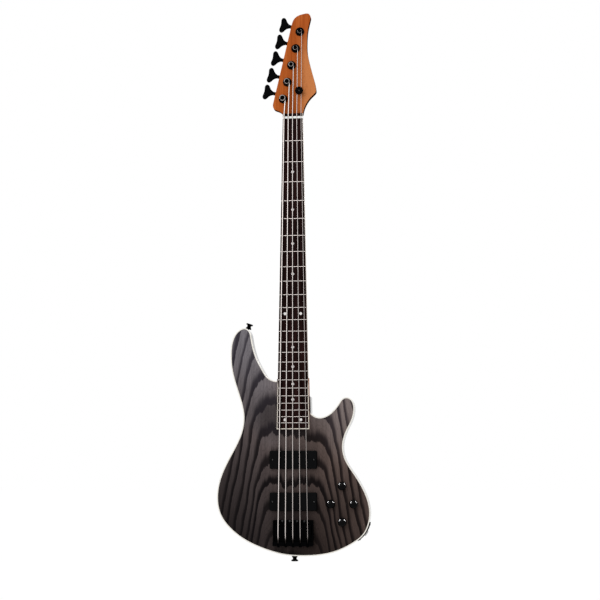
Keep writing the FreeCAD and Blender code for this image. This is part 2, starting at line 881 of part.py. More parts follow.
def make_string(string):
    saddle = saddle_centre(string)
    ball_z = bridge_rear + d.ball_pocket
    anchor = Vec(saddle.x, bridge_top - d.string_anchor_rise, ball_z)
    drop_z = saddle.z - d.saddle_crest / 2 - d.saddle_travel
    points = [anchor, Vec(saddle.x, saddle.y, drop_z), nut_break(string)]
    if string in (1, 2):
        points.append(retained_point(string))
    leave, heading = leave_point(string)
    points.append(leave)
    straight = rounded_run(points, d.string_bend)
    entry = (leave - points[-2]).normalize()
    turns = winding_edges(string, leave, entry, heading)
    path = Part.Wire(straight + turns)
    outward = (points[1] - anchor).normalize()
    section = Part.Wire([Part.Circle(anchor, outward, gauge(string) / 2).toShape()])
    pipe = Part.BRepOffsetAPI.MakePipeShell(path)
    pipe.add(section)
    pipe.build()
    pipe.makeSolid()
    tube = doc.addObject("Part::Feature", "string_%d_tube" % string)
    tube.Shape = pipe.shape()
    area = math.pi * (gauge(string) / 2) ** 2
    ratio = tube.Shape.Volume / (area * path.Length)
    gap = least_gap(string, straight[-1:] + turns)
    print("string %d: length %.0f, volume ratio %.4f, least gap %.2f" % (string, path.Length, ratio, gap))
    ball_place = at(anchor.x, anchor.y, ball_z - d.ball_length - d.winding_clearance)
    ball = rod("string_%d_ball" % string, ball_place, "size.ball_radius", "size.ball_length")
    node(group("string_%d" % string, [tube, ball]))


# Tuners: bushing, plate with ears, worm on the key's shaft, wheel on the post
def make_bushing(string):
    outer = [
        (d.post_radius + d.running_fit, 0),
        (d.bushing_radius, 0),
        (d.bushing_radius, d.bushing_length),
        (d.bushing_flange_radius, d.bushing_length),
        (d.bushing_flange_radius, d.bushing_length + d.bushing_flange / 2),
        (d.bushing_radius + d.bushing_flange / 2, d.bushing_length + d.bushing_flange),
        (d.post_radius + d.running_fit, d.bushing_length + d.bushing_flange),
    ]
    base = post_place(string).Base
    place = at(base.x, d.head_drop + d.bushing_length, base.z, FRONTWARD)
    return lathe("bushing_%d" % string, polygon(outer), place)


def make_post(string):
    """Post with its string slot, carried through the headstock to the wheel's seat."""
    shoulder = worm_depth - d.gear_width / 2
    rise = worm_depth + d.gear_width / 2
    profile = [
        (0, -rise),
        (d.post_end_radius, -rise),
        (d.post_end_radius, -shoulder),
        (d.post_radius, -shoulder),
        (d.post_radius, -post_top - d.bushing_flange / 2),
        (d.post_radius - d.bushing_flange / 2, -post_top),
        (0, -post_top),
    ]
    base = post_place(string).Base
    turned = lathe("post_%d_turned" % string, polygon(profile), at(base.x, 0, base.z, FRONTWARD))
    frame = post_place(string)
    corner = at(-d.post_radius - d.cut_over, -d.post_slot_width / 2, post_top - d.cut_over)
    slot_place = frame.multiply(corner)
    slot = block(
        "post_%d_slot" % string,
        slot_place,
        "2 * size.post_radius + 2 * size.cut_over",
        "size.post_slot_width",
        "size.post_slot_depth + size.cut_over",
    )
    node(cut("string_post_%d" % string, turned, [slot]))


def tooth_corners(thickness, pitch_radius, root, tip):
    """Radius and half thickness at the foot and the tip of a straight-flanked tooth."""
    lean = math.tan(math.radians(d.flank_angle))
    foot = thickness / 2 + (pitch_radius - root) * lean
    crest = thickness / 2 - (tip - pitch_radius) * lean
    return [(root, -foot), (tip, -crest), (tip, crest), (root, foot)]


def make_gear(string):
    root = gear_pitch_radius - d.gear_dedendum
    tip = gear_pitch_radius + d.gear_addendum
    outline = []
    for tooth in range(int(d.gear_teeth_count)):
        middle = 2 * math.pi * tooth / d.gear_teeth_count
        for radius, offset in tooth_corners(d.gear_tooth, gear_pitch_radius, root, tip):
            angle = middle + offset / radius
            outline.append((radius * math.cos(angle), radius * math.sin(angle)))
    bore = [Part.Circle(Vec(0, 0, 0), Vec(0, 0, 1), d.post_end_radius + d.press_fit)]
    frame = post_place(string)
    wheel_place = frame.multiply(at(0, 0, worm_depth - d.gear_width / 2))
    wheel = extrude("wheel_%d" % string, polygon(outline) + bore, "size.gear_width", wheel_place)
    head_place = frame.multiply(at(0, 0, worm_depth + d.gear_width / 2))
    head = rod("wheel_screw_%d" % string, head_place, "size.gear_screw_radius", "size.gear_screw_head")
    node(group("tuner_gear_%d" % string, [wheel, head]))


def ear_offset():
    """Distance from the worm's middle to the inner face of an ear."""
    thread_foot = d.worm_thread
    return d.worm_turn_count * worm_lead / 2 + thread_foot + d.worm_end_gap + d.cut_over / 2


def make_key_shaft(string):
    """Key shaft with its worm: a turned shaft and one thread swept along a helix."""
    body = doc.addObject("PartDesign::Body", "key_shaft_%d" % string)
    inner = ear_offset() - d.worm_end_gap
    outer = ear_offset() + d.ear_thickness + d.worm_end_gap
    reach = d.key_reach - d.key_length + d.key_socket
    profile = [
        (0, -outer),
        (d.key_shaft_radius, -outer),
        (d.key_shaft_radius, -inner),
        (d.worm_core_radius, -inner + d.worm_end_gap),
        (d.worm_core_radius, inner - d.worm_end_gap),
        (d.key_shaft_radius, inner),
        (d.key_shaft_radius, reach),
        (0, reach),
    ]
    sketch = body_sketch(body, "shaft_profile_%d" % string, "XZ_Plane", polygon(profile))
    shaft = body.newObject("PartDesign::Revolution", "shaft_turned_%d" % string)
    shaft.Profile = sketch
    shaft.ReferenceAxis = (sketch, ["V_Axis"])
    shaft.Angle = 360
    middle = -d.worm_turn_count * worm_lead / 2
    sunk = d.worm_core_radius - d.worm_end_gap
    corners = tooth_corners(d.worm_thread, d.worm_pitch_radius, sunk, worm_tip_radius)
    thread = body_sketch(
        body,
        "thread_profile_%d" % string,
        "XZ_Plane",
        polygon([(radius, middle + offset) for radius, offset in corners]),
    )
    helix = body.newObject("PartDesign::AdditiveHelix", "worm_thread_%d" % string)
    helix.Profile = thread
    helix.ReferenceAxis = (thread, ["V_Axis"])
    helix.Mode = 0
    helix.setExpression("Pitch", "pi * size.gear_module")
    helix.setExpression("Height", "size.worm_turn_count * pi * size.gear_module")
    spin = Place(Vec(0, 0, 0), SIDEWARD.multiply(Turn(Vec(0, 0, 1), d.worm_phase_angle)))
    body.Placement = post_place(string).multiply(at(0, gear_distance, worm_depth)).multiply(spin)
    return body


def make_key(string):
    """Tuner key: a rounded wing with three lobes and a collar, on the end of its worm shaft."""
    start = d.key_reach - d.key_length
    half = [(start + along * d.key_length, across * d.key_span) for along, across in KEY_SHARES]
    mirror = [(x, -y) for x, y in reversed(half[:-1])]
    stem = run([mirror[-1], half[0]])
    wing = doc.addObject("PartDesign::Body", "key_wing_%d" % string)
    sketch = body_sketch(wing, "key_outline_%d" % string, "XY_Plane", [spline(half + mirror)] + stem)
    pad = wing.newObject("PartDesign::Pad", "key_pad_%d" % string)
    pad.Profile = sketch
    pad.setExpression("Length", "size.key_thickness")
    doc.recompute()
    rims = ["Edge%d" % (index + 1) for index, rim in enumerate(pad.Shape.Edges) if rim.Length > d.key_span]
    rounding = wing.newObject("PartDesign::Fillet", "key_rounding_%d" % string)
    rounding.Base = (pad, rims)
    rounding.setExpression("Radius", "size.key_round")
    frame = post_place(string).multiply(at(0, gear_distance, worm_depth))
    wing.Placement = frame.multiply(at(0, 0, -d.key_thickness / 2))
    collar_place = frame.multiply(at(start - d.key_collar / 2, 0, 0, SIDEWARD))
    collar = rod("key_collar_%d" % string, collar_place, "size.key_collar_radius", "size.key_collar")
    socket = rod(
        "key_socket_%d" % string,
        frame.multiply(at(start - d.key_collar / 2 - d.cut_over, 0, 0, SIDEWARD)),
        "size.key_shaft_radius + size.press_fit",
        "size.key_collar / 2 + size.key_socket + size.cut_over",
    )
    button = cut("key_button_%d" % string, fuse("key_blank_%d" % string, [wing, collar]), [socket])
    node(group("tuner_key_%d" % string, [button, make_key_shaft(string)]))


def make_tuner_plate(string):
    frame = post_place(string)
    base = block(
        "plate_base_%d" % string,
        frame.multiply(at(-d.tuner_plate_width / 2, -d.tuner_plate_low, head_back)),
        "size.tuner_plate_width",
        "size.tuner_plate_low + size.tuner_plate_high",
        "size.tuner_plate_thickness",
    )
    rise = worm_depth + d.ear_rise - plate_back
    ears = []
    for side in (-1, 1):
        x = side * (ear_offset() + d.ear_thickness / 2) - d.ear_thickness / 2
        place = frame.multiply(at(x, gear_distance - d.ear_width / 2, plate_back))
        name = "plate_ear_%d_%d" % (string, side + 1)
        ears.append(block(name, place, "size.ear_thickness", "size.ear_width", rise))
    bore = rod(
        "ear_bore_%d" % string,
        frame.multiply(at(-d.tuner_plate_width, gear_distance, worm_depth, SIDEWARD)),
        "size.key_shaft_radius + size.running_fit",
        "2 * size.tuner_plate_width",
    )
    hole = rod(
        "plate_hole_%d" % string,
        frame.multiply(at(0, 0, head_back - d.cut_over)),
        "size.post_radius + size.loose_fit",
        "size.tuner_plate_thickness + 2 * size.cut_over",
    )
    tools = [bore, hole]
    for side, place in enumerate(tuner_screw_places(string)):
        tools.append(pilot("plate_pilot_%d_%d" % (string, side), place, d.screw_length))
    return cut("tuner_plate_%d" % string, fuse("plate_blank_%d" % string, [base] + ears), tools)


def make_tuners():
    bushings = []
    plates = []
    for string in STRINGS:
        bushings.append(make_bushing(string))
        plates.append(make_tuner_plate(string))
        make_post(string)
        make_gear(string)
        make_key(string)
    node(group("tuner_bushings", bushings))
    node(group("tuner_plates", plates))


def make_retainer():
    seat = d.screw_head_radius + d.glue_fit
    top = d.retainer_rise + d.retainer_disc
    sink = top - d.screw_head
    hole = d.screw_radius + d.press_fit
    profile = [
        (hole, 0),
        (d.retainer_post_radius, 0),
        (d.retainer_post_radius, d.retainer_rise),
        (d.retainer_radius, d.retainer_rise),
        (d.retainer_radius, d.retainer_rise + d.retainer_disc / 2),
        (d.retainer_radius - d.retainer_disc / 2, top),
        (seat, top),
        (seat, sink),
        (hole, sink),
    ]
    node(lathe("string_retainer", polygon(profile), retainer_place()))


# Body: core, top, binding, and everything cut into them
def body_spot(share):
    """Place on the body's front from shares of its width and of its length below the horn tip."""
    return share[0] * d.body_width, -horn_tip - share[1] * d.body_length


def tongue_spot(side, z, out=0):
    """Place on the tongue's side, which keeps a wall outside the neck, or a step out from it."""
    return side * (half_width(z) + tongue_wall + out), z


def body_points():
    bass_root, treble_root = (-horn_tip - share * d.body_length for share in ROOT_SHARES)
    bass_low, treble_low = (-horn_tip - share * d.body_length for share in CUTAWAY_SHARES)
    bass = [tongue_spot(-1, bass_root), tongue_spot(-1, bass_low, d.cutaway_step)]
    treble = [tongue_spot(1, treble_low, d.cutaway_step), tongue_spot(1, treble_root)]
    return bass + [body_spot(share) for share in BODY_SHARES] + treble


def drawn_in(curve, points, inset):
    """The outline's own points moved inward along the curve's normal, its ends along the tongue."""
    tangents = [curve.tangent(curve.parameter(Vec(x, z, 0)))[0] for x, z in points]
    inner = [(x - t.y * inset, z + t.x * inset) for (x, z), t in zip(points, tangents)]
    inner[0] = tongue_spot(-1, points[0][1] - inset / abs(tangents[0].x))
    inner[-1] = tongue_spot(1, points[-1][1] - inset / abs(tangents[-1].x))
    return inner


def rounded_box(width, length, corner):
    """Rectangle about the origin with round corners."""
    x, y = width / 2, length / 2
    lean = corner * (1 - math.sqrt(0.5))
    edges = []
    for sx, sy in ((1, 1), (-1, 1), (-1, -1), (1, -1)):
        first = Vec(sx * x, sy * (y - corner), 0)
        last = Vec(sx * (x - corner), sy * y, 0)
        if sx * sy < 0:
            first, last = last, first
        edges.append(Part.Arc(first, Vec(sx * (x - lean), sy * (y - lean), 0), last))
    for arc, following in zip(list(edges), edges[1:] + edges[:1]):
        edges.append(Part.LineSegment(arc.EndPoint, following.StartPoint))
    return edges


def moved(curves, x, y):
    for curve in curves:
        curve.translate(Vec(x, y, 0))
    return curves


def ellipse(half_width_name, half_length_name, extra):
    """Upright ellipse of the control cavity, grown by an extra margin."""
    long_axis = Vec(0, half_length_name + extra, 0)
    short_axis = Vec(half_width_name + extra, 0, 0)
    curve = Part.Ellipse(long_axis, short_axis, Vec(0, 0, 0))
    x, z = body_spot(CONTROL_SHARES)
    curve.translate(Vec(x, z, 0))
    return [curve]


def knob_centres():
    middle_x, middle_z = body_spot(CONTROL_SHARES)
    steps = [(0, 1), (-1, 0), (1, 0), (0, -1)]
    return [(middle_x + x * d.knob_step_x, middle_z + z * d.knob_step_z) for x, z in steps]


def side_place(step, out):
    """Frame on the body's side, a step along it from the jack and out from it, with z outward."""
    edge = spline(body_points())
    x, z = body_spot(JACK_SHARES)
    spot = edge.parameterAtDistance(step, edge.parameter(Vec(x, z, 0)))
    point = edge.value(spot)
    tangent = edge.tangent(spot)[0]
    along = Vec(tangent.x, 0, tangent.y)
    outward = Vec(tangent.y, 0, -tangent.x)
    base = Vec(point.x, d.body_drop + d.body_thickness / 2, point.y)
    return Place(base + outward * out, Turn(along, Vec(0, -1, 0), outward, "ZXY"))


def jack_place():
    """Frame of the output jack, on the inner face of its plate."""
    return side_place(0, d.glue_fit)


def jack_bend(out):
    """Points along the bent jack plate, out from the body's side."""
    places = [side_place(share * d.jack_plate_length / 2, out) for share in BEND_SHARES]
    return [(place.Base.x, place.Base.z) for place in places]


def strap_button_places():
    """Seats of the two strap buttons on the horn tip and the body's end."""
    middle = d.body_drop + d.body_thickness / 2 + d.body_top_thickness / 2
    lean = math.radians(d.horn_button_angle)
    outward = Vec(math.sin(lean), 0, math.cos(lean))
    x, z = body_spot(HORN_BUTTON_SHARES)
    horn = Place(Vec(x, middle, z), Turn(Vec(0, 0, 1), outward))
    end = Place(Vec(0, middle, -body_end), DOWNWARD)
    return [horn, end]


def cover_screw_places():
    x = d.cavity_half_width + d.cover_ledge / 2
    z = d.cavity_half_length + d.cover_ledge / 2
    spots = [(x, 0), (-x, 0), (0, z), (0, -z)]
    depth = body_back - d.screw_head
    middle_x, middle_z = body_spot(CONTROL_SHARES)
    return [at(middle_x + px, depth, middle_z + pz, BACKWARD) for px, pz in spots]


def jack_screw_places():
    out = d.glue_fit + jack_seat
    return [side_place(side * d.jack_screw_spread / 2, out) for side in (-1, 1)]


def pickup_heights():
    """Name and height of each pickup, measured up from the saddles."""
    return [("neck", d.neck_pickup_z - d.scale_length), ("bridge", d.bridge_pickup_z - d.scale_length)]


def pickup_screw_places(z):
    front = d.body_drop - d.pickup_stand + d.screw_head
    return [at(side * d.pickup_screw_x, front, z, FRONTWARD) for side in (-1, 1)]


def pickup_screw_reach():
    return d.pickup_stand - d.screw_head + d.pickup_cavity_depth + d.screw_length


def bridge_screw_places():
    """Screws through the bridge plate, in front of the saddles and between the strings."""
    z = bridge_front - d.screw_head_radius - d.glue_fit
    count = int(d.bridge_screw_count)
    spots = [(step - (count - 1) / 2) * d.bridge_pitch for step in range(count)]
    return [at(x, bridge_top, z, FRONTWARD) for x in spots]


def top_tools(tag):
    """Openings that go through the top: neck pocket, pickup cavities and control holes."""
    grown = taper(-horn_tip, -board_end - d.glue_fit, -d.glue_fit)
    depth = "size.pocket_depth + size.cut_over"
    tools = [plate("neck_pocket" + tag, polygon(grown), depth, pocket_floor)]
    for name, z in pickup_heights():
        width = d.pickup_width + 2 * d.loose_fit
        length = d.pickup_length + 2 * d.loose_fit
        corners = rounded_box(width, length, d.pickup_corner + d.loose_fit)
        cavity = plate(
            "%s_cavity%s" % (name, tag),
            moved(corners, 0, z),
            "size.pickup_cavity_depth + size.cut_over",
            d.body_drop + d.pickup_cavity_depth,
        )
        tools.append(cavity)
    for number, (x, z) in enumerate(knob_centres()):
        place = at(x, cavity_floor + d.cut_over, z, FRONTWARD)
        radius = "size.pot_bushing_radius + size.running_fit"
        depth = "size.body_top_thickness + size.control_skin + 2 * size.cut_over"
        tools.append(rod("pot_hole_%d%s" % (number + 1, tag), place, radius, depth))
    for number, place in enumerate(bridge_screw_places()):
        tools.append(pilot("bridge_pilot_%d%s" % (number, tag), place, d.bridge_plate + 2 * d.screw_length))
    return tools


def tongue_outline(points):
    """Tongue under the heel of the neck, from the treble end of the outline to its bass end."""
    top = d.tongue_length - board_end
    treble = tongue_spot(1, top - d.tongue_corner)
    corner = (treble[0] - d.tongue_corner, top)
    bass = tongue_spot(-1, top + d.tongue_rise)
    return run([points[-1], treble, corner, bass, points[0]])


def make_body():
    points = body_points()
    edge = spline(points)
    inner_points = drawn_in(edge, points, d.body_binding)
    inner_edge = spline(inner_points)
    ends = run([inner_points[-1], points[-1]]) + run([points[0], inner_points[0]])

    top_outline = [inner_edge] + tongue_outline(inner_points)
    top = plate("top_blank", top_outline, "size.body_top_thickness", top_back)
    node(cut("body_top", top, top_tools("_top")))
    node(plate("body_binding", [edge, inner_edge] + ends, "size.body_top_thickness", top_back))

    blank = doc.addObject("PartDesign::Body", "core_blank")
    sketch = body_sketch(blank, "core_outline", "XZ_Plane", [edge] + tongue_outline(points))
    pad = blank.newObject("PartDesign::Pad", "core_pad")
    pad.Profile = sketch
    pad.setExpression("Length", "size.body_thickness - size.body_top_thickness")
    pad.Reversed = True
    blank.Placement = at(0, top_back, 0)
    doc.recompute()
    depth = d.body_thickness - d.body_top_thickness
    rims = [
        "Edge%d" % (index + 1)
        for index, rim in enumerate(pad.Shape.Edges)
        if rim.Length > d.body_width and abs(rim.Vertexes[0].Point.y - depth) < d.press_fit
    ]
    rounding = blank.newObject("PartDesign::Fillet", "back_rounding")
    rounding.Base = (pad, rims)
    rounding.setExpression("Radius", "size.back_round")

    tools = top_tools("_core")
    cavity_outline = ellipse(d.cavity_half_width, d.cavity_half_length, 0)
    cavity_depth = body_back + d.cut_over - cavity_floor
    cavity = plate("control_cavity", cavity_outline, cavity_depth, body_back + d.cut_over)
    ledge_outline = ellipse(d.cavity_half_width, d.cavity_half_length, d.cover_ledge + d.glue_fit)
    ledge_depth = "size.cover_thickness + size.cut_over"
    ledge = plate("cover_ledge", ledge_outline, ledge_depth, body_back + d.cut_over)
    tools += [cavity, ledge]
    for number, place in enumerate(cover_screw_places()):
        tools.append(pilot("cover_pilot_%d" % number, place, d.screw_length))
    for name, z in pickup_heights():
        for side, place in enumerate(pickup_screw_places(z)):
            tools.append(pilot("%s_pickup_pilot_%d" % (name, side), place, pickup_screw_reach()))
    for number, place in enumerate(bolt_places()):
        tools.append(
            rod(
                "bolt_hole_%d" % number,
                at(place.Base.x, pocket_floor - d.cut_over, place.Base.z, BACKWARD),
                "size.bolt_radius + size.press_fit",
                "size.body_thickness",
            )
        )
        tools.append(
            rod(
                "ferrule_hole_%d" % number,
                at(place.Base.x, body_back - d.ferrule_depth, place.Base.z, BACKWARD),
                "size.ferrule_radius + size.press_fit",
                "size.ferrule_depth + size.cut_over",
            )
        )
    route_place = jack_place().multiply(at(0, 0, -d.jack_route_length))
    route_length = "size.jack_route_length + size.cut_over"
    tools.append(rod("jack_route", route_place, "size.jack_route_radius", route_length))
    for number, place in enumerate(jack_screw_places()):
        tools.append(pilot("jack_pilot_%d" % number, place, d.screw_length))
    for number, place in enumerate(strap_button_places()):
        tools.append(
            rod(
                "button_pilot_%d" % number,
                place.multiply(at(0, 0, -d.button_screw_length)),
                "size.button_screw_radius + size.press_fit",
                "size.button_screw_length + size.cut_over",
            )
        )
    node(cut("body_core", blank, tools))


def make_neck_bolts():
    """Four bolts through recessed ferrules, from the back of the body into the neck."""
    pieces = []
    for number, place in enumerate(bolt_places()):
        ferrule = [
            (d.bolt_radius + d.running_fit, -d.ferrule_depth),
            (d.ferrule_radius, -d.ferrule_depth),
            (d.ferrule_radius, 0),
            (d.bolt_head_radius + d.glue_fit, 0),
            (d.bolt_head_radius + d.glue_fit, d.ferrule_floor - d.ferrule_depth),
            (d.bolt_radius + d.running_fit, d.ferrule_floor - d.ferrule_depth),
        ]
        pieces.append(lathe("ferrule_%d" % number, polygon(ferrule), place))
        seat = d.ferrule_floor - d.ferrule_depth
        reach = body_back - pocket_floor + d.bolt_grip
        bolt = [
            (0, -reach),
            (d.bolt_radius, -reach),
            (d.bolt_radius, seat),
            (d.bolt_head_radius, seat),
            (d.bolt_head_radius, seat + d.bolt_head),
            (0, seat + d.bolt_head),
        ]
        pieces.append(lathe("bolt_%d" % number, polygon(bolt), place))
    node(group("neck_bolts", pieces))


# Pickups: a moulded cover with screw bosses, and two coils inside it
def make_pickup(name, z):
    front = d.body_drop - d.pickup_stand
    body = doc.addObject("PartDesign::Body", name + "_pickup_shell")
    sketch = body_sketch(
        body,
        name + "_pickup_outline",
        "XY_Plane",
        rounded_box(d.pickup_width, d.pickup_length, d.pickup_corner),
    )
    pad = body.newObject("PartDesign::Pad", name + "_pickup_pad")
    pad.Profile = sketch
    pad.setExpression("Length", "size.pickup_height")
    doc.recompute()
    tops = [
        "Edge%d" % (index + 1)
        for index, rim in enumerate(pad.Shape.Edges)
        if all(abs(vertex.Point.z - d.pickup_height) < d.press_fit for vertex in rim.Vertexes)
    ]
    rounding = body.newObject("PartDesign::Fillet", name + "_pickup_rounding")
    rounding.Base = (pad, tops)
    rounding.setExpression("Radius", "size.pickup_edge")
    hollow_sketch = body_sketch(
        body,
        name + "_pickup_hollow",
        "XY_Plane",
        rounded_box(
            d.pickup_width - 2 * d.pickup_wall,
            d.pickup_length - 2 * d.pickup_wall,
            d.pickup_corner - d.pickup_wall / 2,
        ),
    )
    hollow = body.newObject("PartDesign::Pocket", name + "_pickup_pocket")
    hollow.Profile = hollow_sketch
    hollow.setExpression("Length", "size.pickup_height - size.pickup_wall")
    hollow.Reversed = True
    body.Placement = at(0, front + d.pickup_height, z, FRONTWARD)
    bosses = []
    holes = []
    for side, place in enumerate(pickup_screw_places(z)):
        rear = front + d.pickup_height
        boss_place = at(place.Base.x, rear, place.Base.z, FRONTWARD)
        boss_length = "size.pickup_height - size.pickup_wall / 2"
        bosses.append(rod("%s_boss_%d" % (name, side), boss_place, "size.pickup_boss_radius", boss_length))
        holes.append(
            rod(
                "%s_boss_hole_%d" % (name, side),
                boss_place.multiply(at(0, 0, -d.cut_over)),
                "size.screw_radius + size.loose_fit",
                "size.pickup_height + 2 * size.cut_over",
            )
        )
        sink_depth = front + d.screw_head + d.pickup_travel + d.loose_fit
        holes.append(
            rod(
                "%s_boss_sink_%d" % (name, side),
                at(place.Base.x, sink_depth, place.Base.z, FRONTWARD),
                "size.screw_head_radius + size.loose_fit",
                "size.pickup_height",
            )
        )
    node(cut(name + "_pickup_cover", fuse(name + "_pickup_solid", [body] + bosses), holes))

    coils = []
    for side in (-1, 1):
        shape = rounded_box(d.coil_length, d.coil_width, d.coil_width / 2 - d.press_fit)
        offset = side * (d.coil_width + d.coil_gap) / 2
        rear = front + d.pickup_wall + d.coil_height
        outline = moved(shape, 0, z + offset)
        coils.append(plate("%s_coil_%d" % (name, side + 1), outline, "size.coil_height", rear))
    node(group(name + "_pickup_coils", coils))


# Bridge: plate with side walls, saddles on height screws, and screws that set the intonation
def make_bridge():
    rear = bridge_rear
    half = d.bridge_width / 2
    base = block(
        "bridge_base",
        at(-half, bridge_top, rear),
        "size.bridge_width",
        "size.bridge_plate",
        "size.bridge_length",
    )
    walls = [
        block(
            "bridge_side_%d" % side,
            at(x, bridge_top - d.bridge_wall_rise, rear),
            "size.bridge_wall",
            "size.bridge_wall_rise + size.bridge_plate / 2",
            "size.bridge_length",
        )
        for side, x in enumerate((-half, half - d.bridge_wall))
    ]
    stop = block(
        "bridge_stop",
        at(-half, bridge_top - d.bridge_rear_rise, rear),
        "size.bridge_width",
        "size.bridge_rear_rise + size.bridge_plate / 2",
        "size.bridge_rear_depth",
    )
    tools = []
    screws = []
    anchor_y = bridge_top - d.string_anchor_rise
    screw_y = bridge_top - d.intonation_rise
    for string in STRINGS:
        x = string_x(string, d.bridge_pitch)
        radius = "size.string_5_gauge / 2 + size.loose_fit"
        height = "size.bridge_rear_depth + 2 * size.cut_over"
        hole_place = at(x, anchor_y, rear - d.cut_over)
        tools.append(rod("anchor_hole_%d" % string, hole_place, radius, height))
        slot_x = x - d.string_5_gauge / 2 - d.loose_fit
        slot_place = at(slot_x, bridge_top - d.bridge_rear_rise - d.cut_over, rear)
        slot_width = "size.string_5_gauge + 2 * size.loose_fit"
        slot_rise = "size.bridge_rear_rise - size.string_anchor_rise + size.cut_over"
        tools.append(block("anchor_slot_%d" % string, slot_place, slot_width, slot_rise, height))
        pocket_place = at(x, anchor_y, rear - d.cut_over)
        pocket_length = "size.ball_pocket + size.cut_over + size.loose_fit"
        pocket_radius = "size.ball_radius + size.loose_fit"
        tools.append(rod("ball_pocket_%d" % string, pocket_place, pocket_radius, pocket_length))
        screw_place = at(x, screw_y, rear - d.cut_over)
        screw_radius = "size.intonation_radius + size.press_fit"
        tools.append(rod("screw_hole_%d" % string, screw_place, screw_radius, height))
        reach = saddle_front(string) - rear - d.saddle_travel - d.loose_fit
        profile = [
            (0, -d.intonation_head),
            (d.intonation_head_radius, -d.intonation_head),
            (d.intonation_head_radius, 0),
            (d.intonation_radius, 0),
            (d.intonation_radius, reach),
            (0, reach),
        ]
        screws.append(lathe("intonation_%d" % string, polygon(profile), at(x, screw_y, rear)))
    for number, place in enumerate(bridge_screw_places()):
        tools.append(pilot("plate_screw_hole_%d" % number, place, d.bridge_plate + d.screw_length))
    node(cut("bridge_plate", fuse("bridge_blank", [base, stop] + walls), tools))
    node(group("intonation_screws", screws))
    heads = [
        screw("bridge_screw_%d" % number, place, d.bridge_plate + 2 * d.screw_length)
        for number, place in enumerate(bridge_screw_places())
    ]
    node(group("bridge_screws", heads))


def saddle_front(string):
    return saddle_z(string) + d.saddle_lead


def make_saddle(string):
    """Saddle block: a round groove under the string's crest, relieved behind it."""
    centre = saddle_centre(string)
    top = centre.y + gauge(string) / 2 - d.saddle_lip
    foot = bridge_top - d.saddle_foot
    front = saddle_front(string)
    blank = block(
        "saddle_blank_%d" % string,
        at(centre.x - d.saddle_width / 2, top, front - d.saddle_length),
        "size.saddle_width",
        foot - top,
        "size.saddle_length",
    )
    reach = "size.saddle_length + 2 * size.cut_over"
    groove_place = at(centre.x, centre.y, front - d.saddle_length - d.cut_over)
    groove_radius = "size.string_%d_gauge / 2 + size.winding_clearance" % string
    groove = rod("saddle_groove_%d" % string, groove_place, groove_radius, reach)
    past_rear = front - d.saddle_length - d.cut_over
    opening = block(
        "saddle_opening_%d" % string,
        at(centre.x - gauge(string) / 2 - d.winding_clearance, top - d.cut_over, past_rear),
        "size.string_%d_gauge + 2 * size.winding_clearance" % string,
        max(centre.y - top, 0) + d.cut_over,
        reach,
    )
    relief_top = saddle_z(string) - d.saddle_crest / 2
    relief = block(
        "saddle_relief_%d" % string,
        at(centre.x - d.string_5_gauge / 2 - d.loose_fit, top - d.cut_over, past_rear),
        "size.string_5_gauge + 2 * size.loose_fit",
        "size.saddle_relief + size.saddle_lip + size.cut_over",
        relief_top - past_rear,
    )
    bore = rod(
        "saddle_bore_%d" % string,
        at(centre.x, bridge_top - d.intonation_rise, past_rear),
        "size.intonation_radius + size.running_fit",
        reach,
    )
    holes = []
    screws = []
    for side in (-1, 1):
        x = centre.x + side * d.height_screw_x
        z = front - d.saddle_length / 4
        seat = at(x, bridge_top - d.running_fit, z, FRONTWARD)
        rise = bridge_top - d.running_fit - top
        tag = "%d_%d" % (string, side + 1)
        below = seat.multiply(at(0, 0, -d.cut_over))
        radius = "size.height_screw_radius + size.press_fit"
        holes.append(rod("height_hole_" + tag, below, radius, rise + 2 * d.cut_over))
        screws.append(rod("height_screw_" + tag, seat, "size.height_screw_radius", rise - d.loose_fit))
    shaped = cut("saddle_block_%d" % string, blank, [groove, opening, relief, bore] + holes)
    node(group("saddle_%d" % string, [shaped] + screws))


# Controls: knobs on their shafts, potentiometers, preamp, battery, cover and jack
def make_knob(number, x, z):
    """Turned knob with a domed face, hollow underneath to clear the nut."""
    body = doc.addObject("PartDesign::Body", "knob_cap_%d" % number)
    top = d.knob_height
    bore = d.pot_shaft_radius + d.press_fit
    side = run(
        [
            (0, d.knob_bore_depth),
            (bore, d.knob_bore_depth),
            (bore, d.knob_recess),
            (d.knob_recess_radius, d.knob_recess),
            (d.knob_recess_radius, 0),
            (d.knob_radius, 0),
            (d.knob_radius, top - d.knob_dome),
        ]
    )
    crown = dome(d.knob_radius, top - d.knob_dome, d.knob_dome)
    axis = run([(0, top), (0, d.knob_bore_depth)])
    sketch = body_sketch(body, "knob_profile_%d" % number, "XZ_Plane", side + [crown] + axis)
    turned = body.newObject("PartDesign::Revolution", "knob_turned_%d" % number)
    turned.Profile = sketch
    turned.ReferenceAxis = (sketch, ["V_Axis"])
    turned.Angle = 360
    seat = d.body_drop - d.knob_gap
    body.Placement = at(x, seat, z, FRONTWARD)
    shaft_place = at(x, cavity_floor, z, FRONTWARD)
    shaft_length = cavity_floor - seat + d.knob_bore_depth - d.press_fit
    shaft = rod("pot_shaft_%d" % number, shaft_place, "size.pot_shaft_radius", shaft_length)
    node(group("knob_%d" % number, [body, shaft]))


